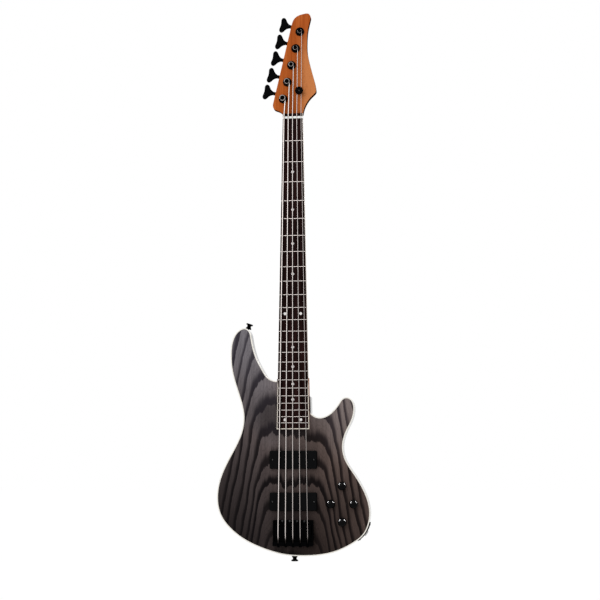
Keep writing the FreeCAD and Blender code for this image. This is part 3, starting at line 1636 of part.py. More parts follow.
def make_controls():
    pots = []
    nuts = []
    for number, (x, z) in enumerate(knob_centres(), start=1):
        make_knob(number, x, z)
        back = cavity_floor + d.pot_height
        rise = back - d.body_drop + d.pot_bushing_rise
        case = rod("pot_case_%d" % number, at(x, back, z, FRONTWARD), "size.pot_radius", "size.pot_height")
        bush = rod("pot_bush_%d" % number, at(x, back, z, FRONTWARD), "size.pot_bushing_radius", rise)
        hole = rod(
            "pot_bore_%d" % number,
            at(x, cavity_floor + d.running_fit, z, FRONTWARD),
            "size.pot_shaft_radius + size.running_fit",
            rise,
        )
        pots.append(cut("pot_%d" % number, fuse("pot_solid_%d" % number, [case, bush]), [hole]))
        prism = doc.addObject("Part::Prism", "pot_hex_%d" % number)
        prism.Polygon = 6
        prism.setExpression("Circumradius", "size.pot_nut_radius")
        prism.setExpression("Height", "size.pot_nut")
        prism.Placement = at(x, d.body_drop, z, FRONTWARD)
        inside = rod(
            "pot_nut_bore_%d" % number,
            at(x, d.body_drop + d.cut_over, z, FRONTWARD),
            "size.pot_bushing_radius + size.press_fit",
            "size.pot_nut + 2 * size.cut_over",
        )
        nuts.append(cut("pot_nut_%d" % number, prism, [inside]))
    node(group("pots", pots))
    node(group("pot_nuts", nuts))

    middle_x, middle_z = body_spot(CONTROL_SHARES)
    board_y = cavity_floor + d.pot_height + d.glue_fit
    board_z = middle_z + d.preamp_rise - d.preamp_length / 2
    board_place = at(middle_x - d.preamp_width / 2, board_y, board_z)
    board_thickness = "size.preamp_thickness"
    node(block("preamp_board", board_place, "size.preamp_width", board_thickness, "size.preamp_length"))
    battery_place = at(
        middle_x - d.battery_width / 2,
        cover_front - d.glue_fit - d.battery_thickness,
        middle_z - d.battery_drop - d.battery_length / 2,
    )
    battery_thickness = "size.battery_thickness"
    node(block("battery", battery_place, "size.battery_width", battery_thickness, "size.battery_length"))

    cover_outline = ellipse(d.cavity_half_width, d.cavity_half_length, d.cover_ledge)
    cover = plate("cover_blank", cover_outline, "size.cover_thickness", body_back)
    tools = []
    for number, place in enumerate(cover_screw_places()):
        tools.append(pilot("cover_hole_%d" % number, place, d.screw_length))
        sink_radius = "size.screw_head_radius + size.running_fit"
        tools.append(rod("cover_sink_%d" % number, place, sink_radius, "size.screw_head + size.cut_over"))
    node(cut("control_cover", cover, tools))


def make_jack():
    frame = jack_place()
    inner = jack_bend(d.glue_fit)
    outer = jack_bend(d.glue_fit + d.jack_plate_thickness)
    ends = run([inner[-1], outer[-1]]) + run([outer[0], inner[0]])
    back = frame.Base.y + d.jack_plate_width / 2
    blank = plate("jack_plate_blank", [spline(inner), spline(outer)] + ends, "size.jack_plate_width", back)
    hole_place = frame.multiply(at(0, 0, -d.cut_over))
    hole_length = "size.jack_plate_thickness + 2 * size.cut_over"
    tools = [rod("jack_plate_hole", hole_place, "size.jack_bush_radius + size.press_fit", hole_length)]
    for number, place in enumerate(jack_screw_places()):
        tools.append(pilot("jack_plate_pilot_%d" % number, place, d.screw_length))
    node(cut("jack_plate", blank, tools))
    nut_top = jack_seat + d.jack_nut
    profile = [
        (d.jack_bore, -d.jack_body_length),
        (d.jack_body_radius, -d.jack_body_length),
        (d.jack_body_radius, -d.jack_shoulder),
        (d.jack_bush_radius, -d.jack_shoulder),
        (d.jack_bush_radius, jack_seat),
        (d.jack_nut_radius, jack_seat),
        (d.jack_nut_radius, nut_top),
        (d.jack_bore, nut_top),
    ]
    node(lathe("output_jack", polygon(profile), frame))


def make_strap_buttons():
    buttons = []
    screws = []
    for number, place in enumerate(strap_button_places()):
        hole = d.button_screw_radius + d.running_fit
        seat = d.button_screw_head_radius + d.glue_fit
        top = d.button_height
        sink = top - d.button_screw_head
        profile = [
            (hole, 0),
            (d.button_foot_radius, 0),
            (d.button_foot_radius, d.button_head / 2),
            (d.button_waist_radius, d.button_height / 2),
            (d.button_waist_radius + d.button_head / 2, top - d.button_head),
            (d.button_head_radius, top - d.button_head),
            (d.button_head_radius, top - d.button_head / 3),
            (d.button_head_radius - d.button_head / 3, top),
            (seat, top),
            (seat, sink),
            (hole, sink),
        ]
        buttons.append(lathe("strap_button_%d" % number, polygon(profile), place))
        shank = [
            (0, -d.button_screw_length),
            (d.button_screw_radius, -d.button_screw_length),
            (d.button_screw_radius, sink),
            (d.button_screw_head_radius, sink),
            (d.button_screw_head_radius, top),
            (0, top),
        ]
        screws.append(lathe("strap_screw_%d" % number, polygon(shank), place))
    node(group("strap_buttons", buttons))
    node(group("strap_button_screws", screws))


def make_small_screws():
    heads = []
    for string in STRINGS:
        for side, place in enumerate(tuner_screw_places(string)):
            heads.append(screw("tuner_screw_%d_%d" % (string, side), place, d.screw_length))
    front = retainer_place().multiply(at(0, 0, d.retainer_rise + d.retainer_disc - d.screw_head))
    heads.append(screw("retainer_screw", front, d.retainer_rise + d.retainer_disc + d.screw_length / 2))
    for number, place in enumerate(cover_screw_places()):
        heads.append(screw("cover_screw_%d" % number, place, d.screw_length))
    for number, place in enumerate(jack_screw_places()):
        heads.append(screw("jack_screw_%d" % number, place, d.screw_length))
    for name, z in pickup_heights():
        for side, place in enumerate(pickup_screw_places(z)):
            heads.append(screw("%s_pickup_screw_%d" % (name, side), place, pickup_screw_reach()))
    node(group("small_screws", heads))


def write_parts():
    """Check every object and every piece, then write each piece to its own file."""
    for item in doc.Objects:
        if "Invalid" in item.State or "Error" in item.State:
            raise RuntimeError("object failed: " + item.Name)
    for name, item in NODES.items():
        if item.Shape.isNull() or not item.Shape.isValid() or not item.Shape.Solids:
            raise RuntimeError("piece is not a valid solid: " + name)
    os.makedirs("parts", exist_ok=True)
    for name, item in NODES.items():
        item.Shape.exportStep("parts/%s.step" % name)
    print("%d pieces, %d solids" % (len(NODES), sum(len(item.Shape.Solids) for item in NODES.values())))


make_fretboard()
make_frets()
make_nut()
make_neck()
make_truss_rod()
make_retainer()
make_tuners()
make_body()
make_neck_bolts()
for pickup_name, pickup_z in pickup_heights():
    make_pickup(pickup_name, pickup_z)
make_bridge()
for string_number in STRINGS:
    make_saddle(string_number)
    make_string(string_number)
make_controls()
make_jack()
make_strap_buttons()
make_small_screws()
doc.recompute()
write_parts()
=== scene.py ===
# %% [markdown]
# # A five-string electric bass, dressed for its portrait
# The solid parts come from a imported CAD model, already in place and in metres. This lesson
# keeps those parts as a fixed frame, gives each one its finish, and adds the pieces whose looks
# need more than a plain solid: wound strings, turned knobs, cast keys and crossed screw heads.
# X runs to the treble side, Y to the back and Z up the neck, with the origin at the nut.

# %% Load the frame
import math

import bmesh
import bpy
import numpy as np
from mathutils import Matrix, Vector


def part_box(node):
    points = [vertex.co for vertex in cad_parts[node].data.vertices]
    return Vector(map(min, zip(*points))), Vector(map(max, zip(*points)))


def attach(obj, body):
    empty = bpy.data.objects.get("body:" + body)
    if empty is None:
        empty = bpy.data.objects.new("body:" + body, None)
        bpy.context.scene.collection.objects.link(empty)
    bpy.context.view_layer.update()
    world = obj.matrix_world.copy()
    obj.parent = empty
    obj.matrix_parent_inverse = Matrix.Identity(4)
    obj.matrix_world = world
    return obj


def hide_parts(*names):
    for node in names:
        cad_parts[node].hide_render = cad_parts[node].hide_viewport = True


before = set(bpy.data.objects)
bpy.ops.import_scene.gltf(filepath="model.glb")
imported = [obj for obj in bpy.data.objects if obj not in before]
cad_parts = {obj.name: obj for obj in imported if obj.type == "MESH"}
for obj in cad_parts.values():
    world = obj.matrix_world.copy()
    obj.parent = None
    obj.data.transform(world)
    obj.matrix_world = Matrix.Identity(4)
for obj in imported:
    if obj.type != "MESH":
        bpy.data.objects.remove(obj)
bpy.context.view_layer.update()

MM = 0.001
ROOT = "instrument"

# %% [markdown]
# ## The camera
# The photograph was taken from low down and a little to the right, so the headstock is seen
# from below and the right wall of the body shows. A camera can be aimed by eye, but known
# points such as frets and pickup corners fix it exactly: its place, three small angles and a
# focal length in pixels are all that perspective needs.

# %% Aim the camera
FOCAL_PIXELS = 1402.2
PICTURE_PIXELS = 600
SENSOR_MM = 36.0
CAMERA_PLACE = Vector((0.3558, -3.0, -0.757))
YAW, PITCH, ROLL = (math.radians(angle) for angle in (6.48, 6.72, 0.08))

turn = Matrix.Rotation(YAW, 3, "Z") @ Matrix.Rotation(PITCH, 3, "X") @ Matrix.Rotation(ROLL, 3, "Y")
right, forward, up = turn.col
lens_data = bpy.data.cameras.new("portrait_camera")
lens_data.sensor_width = SENSOR_MM
lens_data.lens = SENSOR_MM * FOCAL_PIXELS / PICTURE_PIXELS
camera = bpy.data.objects.new("portrait_camera", lens_data)
camera.matrix_world = Matrix.Translation(CAMERA_PLACE) @ Matrix((right, up, -forward)).transposed().to_4x4()
bpy.context.scene.collection.objects.link(camera)
bpy.context.scene.camera = camera
print("camera lens", round(lens_data.lens, 2), "mm")

# %% [markdown]
# ## Building finishes from nodes
# Every finish here is a small tree of shader nodes. Wiring them by hand takes four lines a
# node, so this helper adds a node, fills its sockets with numbers or with other nodes' outputs,
# and hands back the output. Patterns read Object coordinates, which are metres in the frame.

# %% A helper for finishes
class Finish:
    """A material made of nodes. Sockets take a number, a colour or another node's output."""

    def __init__(self, name, **sockets):
        self.material = bpy.data.materials.new(name)
        self.material.use_nodes = True
        self.tree = self.material.node_tree
        self.shader = self.tree.nodes["Principled BSDF"]
        self.coordinates = self.tree.nodes.new("ShaderNodeTexCoord")
        self.shade(**sockets)

    def fill(self, socket, value):
        """Link another node's output to a socket, or set the socket's own value."""
        if isinstance(value, bpy.types.NodeSocket):
            self.tree.links.new(value, socket)
        else:
            socket.default_value = value

    def shade(self, **sockets):
        """Fill sockets of the surface shader; an underscore stands for a space."""
        for name, value in sockets.items():
            self.fill(self.shader.inputs[name.replace("_", " ")], value)
        return self

    def add(self, kind, *inputs, output=0, **settings):
        """Add a node, fill its inputs in order and return one of its outputs."""
        made = self.tree.nodes.new("ShaderNode" + kind)
        for name, value in settings.items():
            setattr(made, name, value)
        for socket, value in zip(made.inputs, inputs):
            if value is not None:
                self.fill(socket, value)
        return made.outputs[output]

    def math(self, operation, *inputs):
        """One step of arithmetic."""
        return self.add("Math", *inputs, operation=operation)

    def parts(self, source="Object"):
        """Coordinates of a point as three separate numbers."""
        split = self.tree.nodes.new("ShaderNodeSeparateXYZ")
        self.fill(split.inputs[0], self.coordinates.outputs[source])
        return split.outputs

    def noise(self, scale, detail=3.0, rough=0.55, place=(0, 0, 0)):
        """Smooth noise between 0 and 1; scale is how many blotches fit in a metre on each axis.

        A small scale along the grain and a large one across it draw the blotches out into streaks.
        """
        vector = self.add("Mapping", self.coordinates.outputs["Object"], place, None, scale)
        return self.add("TexNoise", vector, None, 1.0, detail, rough)

    def ramp(self, value, *stops):
        """Colours that blend from stop to stop as the value rises."""
        made = self.tree.nodes.new("ShaderNodeValToRGB")
        self.fill(made.inputs[0], value)
        keys = made.color_ramp.elements
        while len(keys) < len(stops):
            keys.new(1.0)
        for key, (position, colour) in zip(keys, stops):
            key.position = position
            key.color = (*colour, 1.0)
        return made.outputs[0]

    def smooth(self, value, low, high):
        """Rise from 0 to 1 while the value goes from low to high."""
        return self.add("MapRange", value, low, high, 0.0, 1.0, interpolation_type="SMOOTHSTEP")

    def range(self, value, low, high):
        """Spread a 0 to 1 value between two amounts."""
        return self.add("MapRange", value, 0.0, 1.0, low, high)

    def mix(self, share, first, second, blend="MIX"):
        """Blend two colours: the first at a share of 0, the second at 1."""
        made = self.tree.nodes.new("ShaderNodeMix")
        made.data_type = "RGBA"
        made.blend_type = blend
        colours = [socket for socket in made.inputs if socket.type == "RGBA"]
        self.fill(made.inputs[0], share)
        for socket, colour in zip(colours, (first, second)):
            self.fill(socket, colour if isinstance(colour, bpy.types.NodeSocket) else (*colour, 1.0))
        return next(socket for socket in made.outputs if socket.type == "RGBA")

    def frontness(self):
        """How squarely the surface faces the front: 1 straight ahead, 0 sideways, -1 backwards."""
        normal = self.add("NewGeometry", output="Normal")
        return self.add("VectorMath", normal, (0.0, -1.0, 0.0), output="Value", operation="DOT_PRODUCT")

    def bump(self, height, depth, strength=1.0):
        """Raise the surface where the height is 1, by a depth in metres."""
        made = self.tree.nodes.new("ShaderNodeBump")
        made.inputs["Strength"].default_value = strength
        made.inputs["Distance"].default_value = depth
        self.fill(made.inputs["Height"], height)
        self.fill(self.shader.inputs["Normal"], made.outputs[0])
        return self


def shade_of(red, green, blue):
    """A picture colour of 0 to 255 turned into the linear light that shaders add up."""
    share = np.array([red, green, blue]) / 255
    return tuple(np.where(share <= 0.04045, share / 12.92, ((share + 0.055) / 1.055) ** 2.4).tolist())


print("a mid grey of 128 is", round(shade_of(128, 128, 128)[0], 3), "in linear light")

# %% [markdown]
# ## The stained ash top
# Ash has wide porous rings that drink the stain and turn almost black, between smooth wood that
# stays grey-brown. A board sawn flat through a tapering trunk cuts those rings into nested arches:
# flanks that spread slowly downwards, and blunt ragged tops. The rings could be drawn one by one, but
# a ring size for every point is simpler. The flanks measure it sideways, the tops measure it upwards,
# and a soft maximum joins the two. Fine upright streaks shift the height only, so that the arch tops
# are ragged and the long flanks stay smooth.

# %% Ash rings
RING_EDGES = [0, 18, 34, 50, 65, 81, 94, 105, 119, 134, 152, 167, 185, 202, 219, 236]
RING_LAST = RING_EDGES[-1] * MM
FLANK_SPREAD, FLANK_FOOT, FLANK_MIDDLE = 0.177, 0.949, 0.0025
TOP_RATE, TOP_FOOT = 0.254, 1.162
ARCH_CORNER, LINES_A_RING = 0.036, 5.0
RAGGED, DRIFTING, SWAYING, SLANT = 0.017, 0.0075, 0.0035, 0.25


def ring_size(wood, streak, drift):
    """Size of the ring through a point: sideways on the flanks, upwards in the arch tops.

    Slow noise lets the rings wander, and they slant a little through the depth of the board.
    """
    x, y, z = wood.parts()
    flank = wood.math("ABSOLUTE", wood.math("ADD", x, FLANK_MIDDLE))
    flank = wood.math("ADD", flank, wood.math("MULTIPLY", wood.math("ADD", z, FLANK_FOOT), FLANK_SPREAD))
    top = wood.math("ADD", wood.math("ADD", z, TOP_FOOT), wood.range(streak, -RAGGED, RAGGED))
    size = wood.math("SMOOTH_MAX", flank, wood.math("MULTIPLY", top, TOP_RATE), ARCH_CORNER)
    sway = wood.noise((34.0, 34.0, 13.0), 2.0, 0.5, (2, 6, 1))
    size = wood.math("ADD", size, wood.range(drift, -DRIFTING, DRIFTING))
    size = wood.math("ADD", size, wood.range(sway, -SWAYING, SWAYING))
    return wood.math("ADD", size, wood.math("MULTIPLY", y, SLANT))


def ring_count(wood, size):
    """Rings are uneven: a ramp with one stop at each ring's edge numbers them from the heart."""
    last = len(RING_EDGES) - 1
    stops = [(edge / RING_EDGES[-1], (step / last,) * 3) for step, edge in enumerate(RING_EDGES)]
    return wood.math("MULTIPLY", wood.ramp(wood.math("DIVIDE", size, RING_LAST), *stops), last)


def ring_depth(wood, count, streak, fibre):
    """How much stain the wood took: 1 where a ring's pores start, fading outwards to 0.

    Each ring has its own luck in how far it fades. Single pores and a few fine growth lines are added.
    """
    through = wood.math("ADD", wood.math("FRACT", count), wood.range(fibre, -0.16, 0.16))
    luck = wood.add("TexWhiteNoise", None, wood.math("FLOOR", count), noise_dimensions="1D")
    fade = wood.range(luck, 0.4, 0.72)
    opening = wood.smooth(through, -0.02, 0.03)
    closing = wood.smooth(through, wood.math("MULTIPLY", fade, 0.36), fade)
    band = wood.math("MULTIPLY", opening, wood.math("SUBTRACT", 1.0, closing))
    band = wood.math("MULTIPLY", band, wood.range(luck, 0.82, 1.0))
    pores = wood.smooth(fibre, 0.54, 0.74)
    depth = wood.math("MAXIMUM", band, wood.math("MULTIPLY", pores, wood.range(band, 0.16, 0.6)))
    lines = wood.math("ADD", wood.math("MULTIPLY", count, LINES_A_RING), wood.range(streak, -1.6, 1.6))
    lines = wood.math("ABSOLUTE", wood.math("SUBTRACT", wood.math("FRACT", lines), 0.5))
    lines = wood.math("MULTIPLY", wood.smooth(lines, 0.3, 0.5), wood.range(through, 0.6, 0.06))
    return wood.math("MAXIMUM", depth, lines)


print("ash rings:", len(RING_EDGES) - 1, "from the heart out to", RING_EDGES[-1], "mm")

# %% [markdown]
# ## The stain and painted shade
# The stain is rubbed in by hand, so it isn't even. The colour is palest on the horns and darker towards
# the tail and the bass side, partly stain and partly painted shade where the light falls off. Two spots,
# round the end of the board and between the bridge pickup and the bridge, are darkened with painted
# shade. The bass side is tinted cooler, partly stain and partly a painted reflection of the white
# studio. One brown for all would look printed, so each of these is a slow change over the whole body,
# mixed into the colours of the rings. The top is open-pored. The sides and back are lacquered, so they
# mirror the studio at a slant.

# %% Ash finish
# Spots of painted shade: round the end of the board, and between the bridge pickup and the bridge.
SHADE_SPOTS = [(-0.046, -0.65, 0.07), (0.0, -0.877, 0.06)]
COOL_TONE, WARM_TONE = (0.88, 0.94, 1.0), (1.0, 0.94, 0.87)
STAIN_AND_SHADE_STOPS = (0.0, 0.45, 1.0)
HORN_HEIGHT, TAIL_HEIGHT, LIGHT_SLANT = -0.47, -1.0, 0.4


def painted_shade_spots(wood, x, z):
    """1 in the middle of each spot of painted shade, falling to 0 at the spot's radius."""
    depth = 0.0
    for across, height, radius in SHADE_SPOTS:
        aside = wood.math("POWER", wood.math("SUBTRACT", x, across), 2.0)
        above = wood.math("POWER", wood.math("SUBTRACT", z, height), 2.0)
        away = wood.math("SQRT", wood.math("ADD", aside, above))
        depth = wood.math("MAXIMUM", depth, wood.smooth(away, radius, 0.2 * radius))
    return depth


def ash_finish(name, pale, dark, roughness, lacquer):
    """Rings of stained ash over wood whose tint drifts.

    Pale and dark are colours from the horns, through the waist, down to the end of the body; their
    darkening towards the tail is partly stain and partly painted shade.
    """
    wood = Finish(name, Specular_IOR_Level=0.03, Coat_Weight=lacquer, Coat_Roughness=0.05, Coat_IOR=1.2)
    x, _, z = wood.parts()
    drift = wood.noise((14.0, 14.0, 7.0), 2.0, 0.5)
    streak = wood.noise((95.0, 60.0, 7.0), 4.0, 0.6)
    fibre = wood.noise((900.0, 300.0, 16.0), 3.0, 0.65)
    hair = wood.noise((420.0, 90.0, 9.0), 4.0, 0.65, (1, 5, 3))
    wander = wood.noise((9.0, 9.0, 4.0), 2.0, 0.5, (4, 2, 7))
    depth = ring_depth(wood, ring_count(wood, ring_size(wood, streak, drift)), streak, fibre)
    # Painted shade, partly stain: the colour darkens towards the tail and towards the bass side.
    lowness = wood.math("ADD", wood.math("MULTIPLY", x, LIGHT_SLANT), z)
    lowness = wood.math("ADD", lowness, wood.range(wander, -0.1, 0.1))
    lowness = wood.smooth(lowness, HORN_HEIGHT, TAIL_HEIGHT)
    tint = wood.ramp(lowness, *zip(STAIN_AND_SHADE_STOPS, pale))
    tint = wood.mix(wood.range(wood.smooth(hair, 0.32, 0.7), 0.0, 0.26), tint, dark[1])
    tint = wood.mix(wood.range(drift, -0.2, 0.45), tint, dark[1])
    # Painted shade: the two spots are darkened towards the dark ring colour.
    tint = wood.mix(wood.range(painted_shade_spots(wood, x, z), 0.0, 0.62), tint, dark[1])
    # Cooler on the bass side, partly stain and partly a painted reflection of the white studio.
    tone = wood.ramp(wood.smooth(x, -0.13, 0.13), (0.0, COOL_TONE), (1.0, WARM_TONE))
    rings = wood.mix(depth, tint, wood.ramp(lowness, *zip(STAIN_AND_SHADE_STOPS, dark)))
    wood.shade(
        Base_Color=wood.mix(1.0, rings, tone, "MULTIPLY"),
        Roughness=wood.range(fibre, roughness - 0.06, roughness + 0.08),
    )
    wood.bump(wood.math("SUBTRACT", 1.0, depth), 0.18 * MM, 0.5)
    return wood.material


# Colours from the horns to the tail; the darker ones are partly stain and partly painted shade.
GREY_STAIN_AND_SHADE = [shade_of(152, 143, 145), shade_of(106, 92, 89), shade_of(46, 38, 36)]
BLACK_STAIN_AND_SHADE = [shade_of(56, 50, 57), shade_of(21, 16, 17), shade_of(13, 9, 10)]
SIDE_STAIN_AND_SHADE = [shade_of(56, 49, 48), shade_of(50, 43, 41), shade_of(42, 35, 33)]
SIDE_PORES = [shade_of(16, 13, 13)] * 3
ash_top = ash_finish("ash_top", GREY_STAIN_AND_SHADE, BLACK_STAIN_AND_SHADE, 0.5, 0.0)
ash_core = ash_finish("ash_core", SIDE_STAIN_AND_SHADE, SIDE_PORES, 0.16, 1.0)
print("ash finishes:", ash_top.name, ash_core.name)

# %% [markdown]
# ## Roasted maple
# The neck is maple baked until it turns toffee brown, with long faint grain and a soft sheen. The grain
# is noise drawn out along the neck, in three widths. Two slower changes lie over it: the treble side of
# the headstock is more golden, and the headstock's side walls are darkened with painted shade, by the
# way they face.

# %% Maple finish
maple = Finish("roasted_maple", Specular_IOR_Level=0.0)
long_grain = maple.noise((260.0, 260.0, 5.0), 4.0, 0.6)
fine_grain = maple.noise((1400.0, 1400.0, 30.0), 3.0, 0.6, (3, 1, 2))
patch = maple.noise((16.0, 16.0, 5.0), 2.0, 0.5, (5, 0, 1))
toffee = maple.ramp(
    long_grain,
    (0.30, shade_of(152, 69, 30)),
    (0.50, shade_of(184, 92, 42)),
    (0.72, shade_of(208, 118, 62)),
)
growth = maple.noise((120.0, 120.0, 4.0), 3.0, 0.6, (7, 2, 0))
toffee = maple.mix(maple.range(maple.smooth(growth, 0.42, 0.66), 0.0, 0.7), toffee, shade_of(148, 64, 26))
warm = maple.mix(maple.range(patch, 0.0, 0.45), toffee, shade_of(188, 99, 35))
neck_x, _, neck_z = maple.parts()
golden = maple.math("MULTIPLY", maple.smooth(neck_x, 0.004, 0.03), maple.smooth(neck_z, 0.0, 0.02))
golden = maple.math("MULTIPLY", golden, maple.smooth(neck_z, 0.21, 0.13))
warm = maple.mix(maple.math("MULTIPLY", golden, 0.7), warm, shade_of(214, 140, 86))
# Painted shade: surfaces that face sideways, the headstock's walls, are darkened.
head_wall_shade = maple.math("SUBTRACT", 1.0, maple.smooth(maple.math("ABSOLUTE", maple.frontness()), 0.3, 0.8))
head_wall_shade = maple.math("MULTIPLY", head_wall_shade, maple.smooth(neck_z, 0.004, 0.012))
warm = maple.mix(head_wall_shade, warm, shade_of(52, 22, 10))
maple.shade(
    Base_Color=maple.mix(maple.smooth(fine_grain, 0.58, 0.75), warm, shade_of(142, 64, 22)),
    Roughness=maple.range(long_grain, 0.36, 0.5),
).bump(fine_grain, 0.04 * MM, 0.4)
print("neck finish:", maple.material.name)

# %% [markdown]
# ## The dark board and its pale line
# The fretboard is a near-black oily wood with fine pores. A cream line runs round it. From the front
# it shows along the part over the body and hardly at all on the neck, so the binding wears the board's
# colour with a line painted on: the line's width is measured inwards from the board's slanting edge.

# %% Board finish
board_wood = Finish("dark_board", Specular_IOR_Level=0.01)
streak = board_wood.noise((330.0, 330.0, 9.0), 4.0, 0.62)
pore = board_wood.noise((2200.0, 2200.0, 90.0), 2.0, 0.6)
board_wood.shade(
    Base_Color=board_wood.mix(
        board_wood.smooth(pore, 0.57, 0.68),
        board_wood.ramp(streak, (0.34, shade_of(9, 4, 3)), (0.66, shade_of(48, 27, 26))),
        shade_of(7, 3, 3),
    ),
    Roughness=board_wood.range(streak, 0.42, 0.6),
).bump(pore, 0.06 * MM, 0.4)
print("board finish:", board_wood.material.name)

# %% The board's edge
NECK_LINE, BODY_LINE, END_LINE = 0.12 * MM, 1.3 * MM, 1.7 * MM
NUT_HALF, END_HALF, BOARD_LENGTH = 22.0 * MM, 35.0 * MM, 680.25 * MM
BODY_STARTS, LINE_EDGE = (-0.575, -0.59), 0.1 * MM
edge_line = Finish("board_edge_line", Specular_IOR_Level=0.05)
edge_x, _, edge_z = edge_line.parts()
narrowing = edge_line.math("MULTIPLY", edge_z, (END_HALF - NUT_HALF) / BOARD_LENGTH)
from_middle = edge_line.math("ADD", edge_line.math("ABSOLUTE", edge_x), narrowing)
width = edge_line.range(edge_line.smooth(edge_z, *BODY_STARTS), NECK_LINE, BODY_LINE)
lined = edge_line.smooth(edge_line.math("ADD", from_middle, width), NUT_HALF - LINE_EDGE, NUT_HALF)
end_line_starts = END_LINE - BOARD_LENGTH
ended = edge_line.smooth(edge_z, end_line_starts + LINE_EDGE, end_line_starts)
lined = edge_line.math("MAXIMUM", lined, ended)
grain = edge_line.noise((330.0, 330.0, 9.0), 4.0, 0.62)
edge_line.shade(
    Base_Color=edge_line.mix(
        lined,
        edge_line.ramp(grain, (0.34, shade_of(14, 7, 6)), (0.68, shade_of(42, 25, 23))),
        edge_line.ramp(grain, (0.3, shade_of(236, 226, 210)), (0.7, shade_of(248, 241, 228))),
    ),
    Roughness=edge_line.range(grain, 0.4, 0.55),
)
print("edge finish:", edge_line.material.name)

# %% [markdown]
# ## Pale trim
# The body's binding is cream plastic, the nut is bone and the dots are pearl. Each has a little
# mottling, so that none of them is a flat colour, and the pearl has a clear coat that shimmers.

# %% Trim finishes
cream = Finish("cream_binding", Specular_IOR_Level=0.3)
age = cream.noise((40.0, 40.0, 12.0), 3.0, 0.5)
cream.shade(
    Base_Color=cream.ramp(age, (0.3, shade_of(246, 241, 229)), (0.7, shade_of(253, 250, 243))),
    Roughness=cream.range(age, 0.3, 0.42),
)

bone = Finish("white_nut", Specular_IOR_Level=0.5, Subsurface_Weight=0.08)
bone_grain = bone.noise((500.0, 90.0, 90.0), 3.0, 0.55)
bone.shade(
    Base_Color=bone.ramp(bone_grain, (0.3, shade_of(242, 240, 234)), (0.7, shade_of(252, 251, 248))),
    Roughness=bone.range(bone_grain, 0.22, 0.34),
)

pearl = Finish("pearl_dot", Coat_Weight=0.5, Coat_Roughness=0.08)
shimmer = pearl.noise((420.0, 420.0, 420.0), 3.0, 0.6)
pearl.shade(
    Base_Color=pearl.ramp(
        shimmer,
        (0.32, shade_of(226, 222, 220)),
        (0.5, shade_of(244, 239, 236)),
        (0.68, shade_of(250, 244, 242)),
    ),
    Roughness=pearl.range(shimmer, 0.18, 0.35),
)
print("trim finishes:", cream.material.name, bone.material.name, pearl.material.name)

# %% [markdown]
# ## Metals and black parts
# Black plating is a dark gloss that shows little but the lamps. Its colour hardly varies, so the
# detail is in the roughness: handling dulls it in soft cloudy patches, and a fine grain breaks it up.
# Bare metals are brushed, which is noise drawn out along one direction. A fret's colour is a painted
# highlight: bright only along its crown, where it faces the front, and dark at its sides, so its colour
# depends on the surface's direction.

# %% Black finishes
def black_finish(name, colour, roughness, gloss, grain, depth):
    """A black part whose roughness wanders, with a fine grain pressed into its surface."""
    black = Finish(name, Specular_IOR_Level=gloss)
    cloud = black.noise((70.0, 70.0, 70.0), 4.0, 0.6)
    speck = black.noise((grain, grain, grain), 2.0, 0.6)
    low = tuple(0.7 * part for part in colour)
    high = tuple(1.5 * part for part in colour)
    black.shade(
        Base_Color=black.ramp(cloud, (0.3, low), (0.7, high)),
        Roughness=black.range(cloud, roughness * 0.75, roughness * 1.3),
    ).bump(speck, depth, 0.35)
    return black.material


black_gloss = black_finish("black_hardware", shade_of(2, 2, 3), 0.16, 0.012, 2600.0, 0.003 * MM)
black_satin = black_finish("pickup_shell", shade_of(5, 5, 6), 0.4, 0.04, 3200.0, 0.01 * MM)
black_matte = black_finish("plate_paint", shade_of(7, 7, 8), 0.6, 0.0, 2600.0, 0.004 * MM)
knob_gloss = black_finish("knob_lacquer", shade_of(3, 3, 4), 0.12, 0.05, 2600.0, 0.001 * MM)
black_cover = black_finish("cover_plastic", shade_of(14, 14, 15), 0.5, 0.15, 1800.0, 0.03 * MM)
black_screw = black_finish("black_screws", shade_of(14, 14, 15), 0.22, 0.6, 2600.0, 0.006 * MM)
black_case = black_finish("battery_case", shade_of(34, 34, 37), 0.4, 0.4, 900.0, 0.01 * MM)
resin = black_finish("coil_resin", shade_of(58, 30, 24), 0.5, 0.4, 700.0, 0.04 * MM)
print("black finishes:", len(bpy.data.materials), "materials so far")

# %% Bare metals
def metal_finish(name, dark, light, roughness, drawn):
    """Bare metal with brush marks drawn out along one axis."""
    metal = Finish(name, Metallic=1.0)
    brushed = metal.noise(drawn, 3.0, 0.6)
    cloud = metal.noise((60.0, 60.0, 60.0), 3.0, 0.55)
    metal.shade(
        Base_Color=metal.mix(cloud, dark, light),
        Roughness=metal.range(brushed, roughness * 0.7, roughness * 1.35),
    ).bump(brushed, 0.02 * MM, 0.3)
    return metal.material


BRUSHED_ALONG_X, BRUSHED_ALONG_Y = (80.0, 2000.0, 2000.0), (2000.0, 60.0, 2000.0)
STEEL = (shade_of(150, 150, 150), shade_of(200, 200, 200))
BRASS = (shade_of(140, 108, 56), shade_of(178, 144, 84))
plain_steel = metal_finish("bare_steel", *STEEL, 0.34, BRUSHED_ALONG_X)
brass = metal_finish("gear_brass", *BRASS, 0.3, BRUSHED_ALONG_Y)

nickel = Finish("fret_steel", Metallic=1.0)
polish = nickel.noise((60.0, 900.0, 900.0), 3.0, 0.6)
# Painted highlight: bright where the fret faces the front, dark on its sides.
crown = nickel.smooth(nickel.frontness(), 0.95, 0.998)
nickel.shade(
    Base_Color=nickel.mix(crown, shade_of(24, 18, 16), shade_of(244, 233, 227)),
    Roughness=nickel.range(polish, 0.2, 0.34),
)

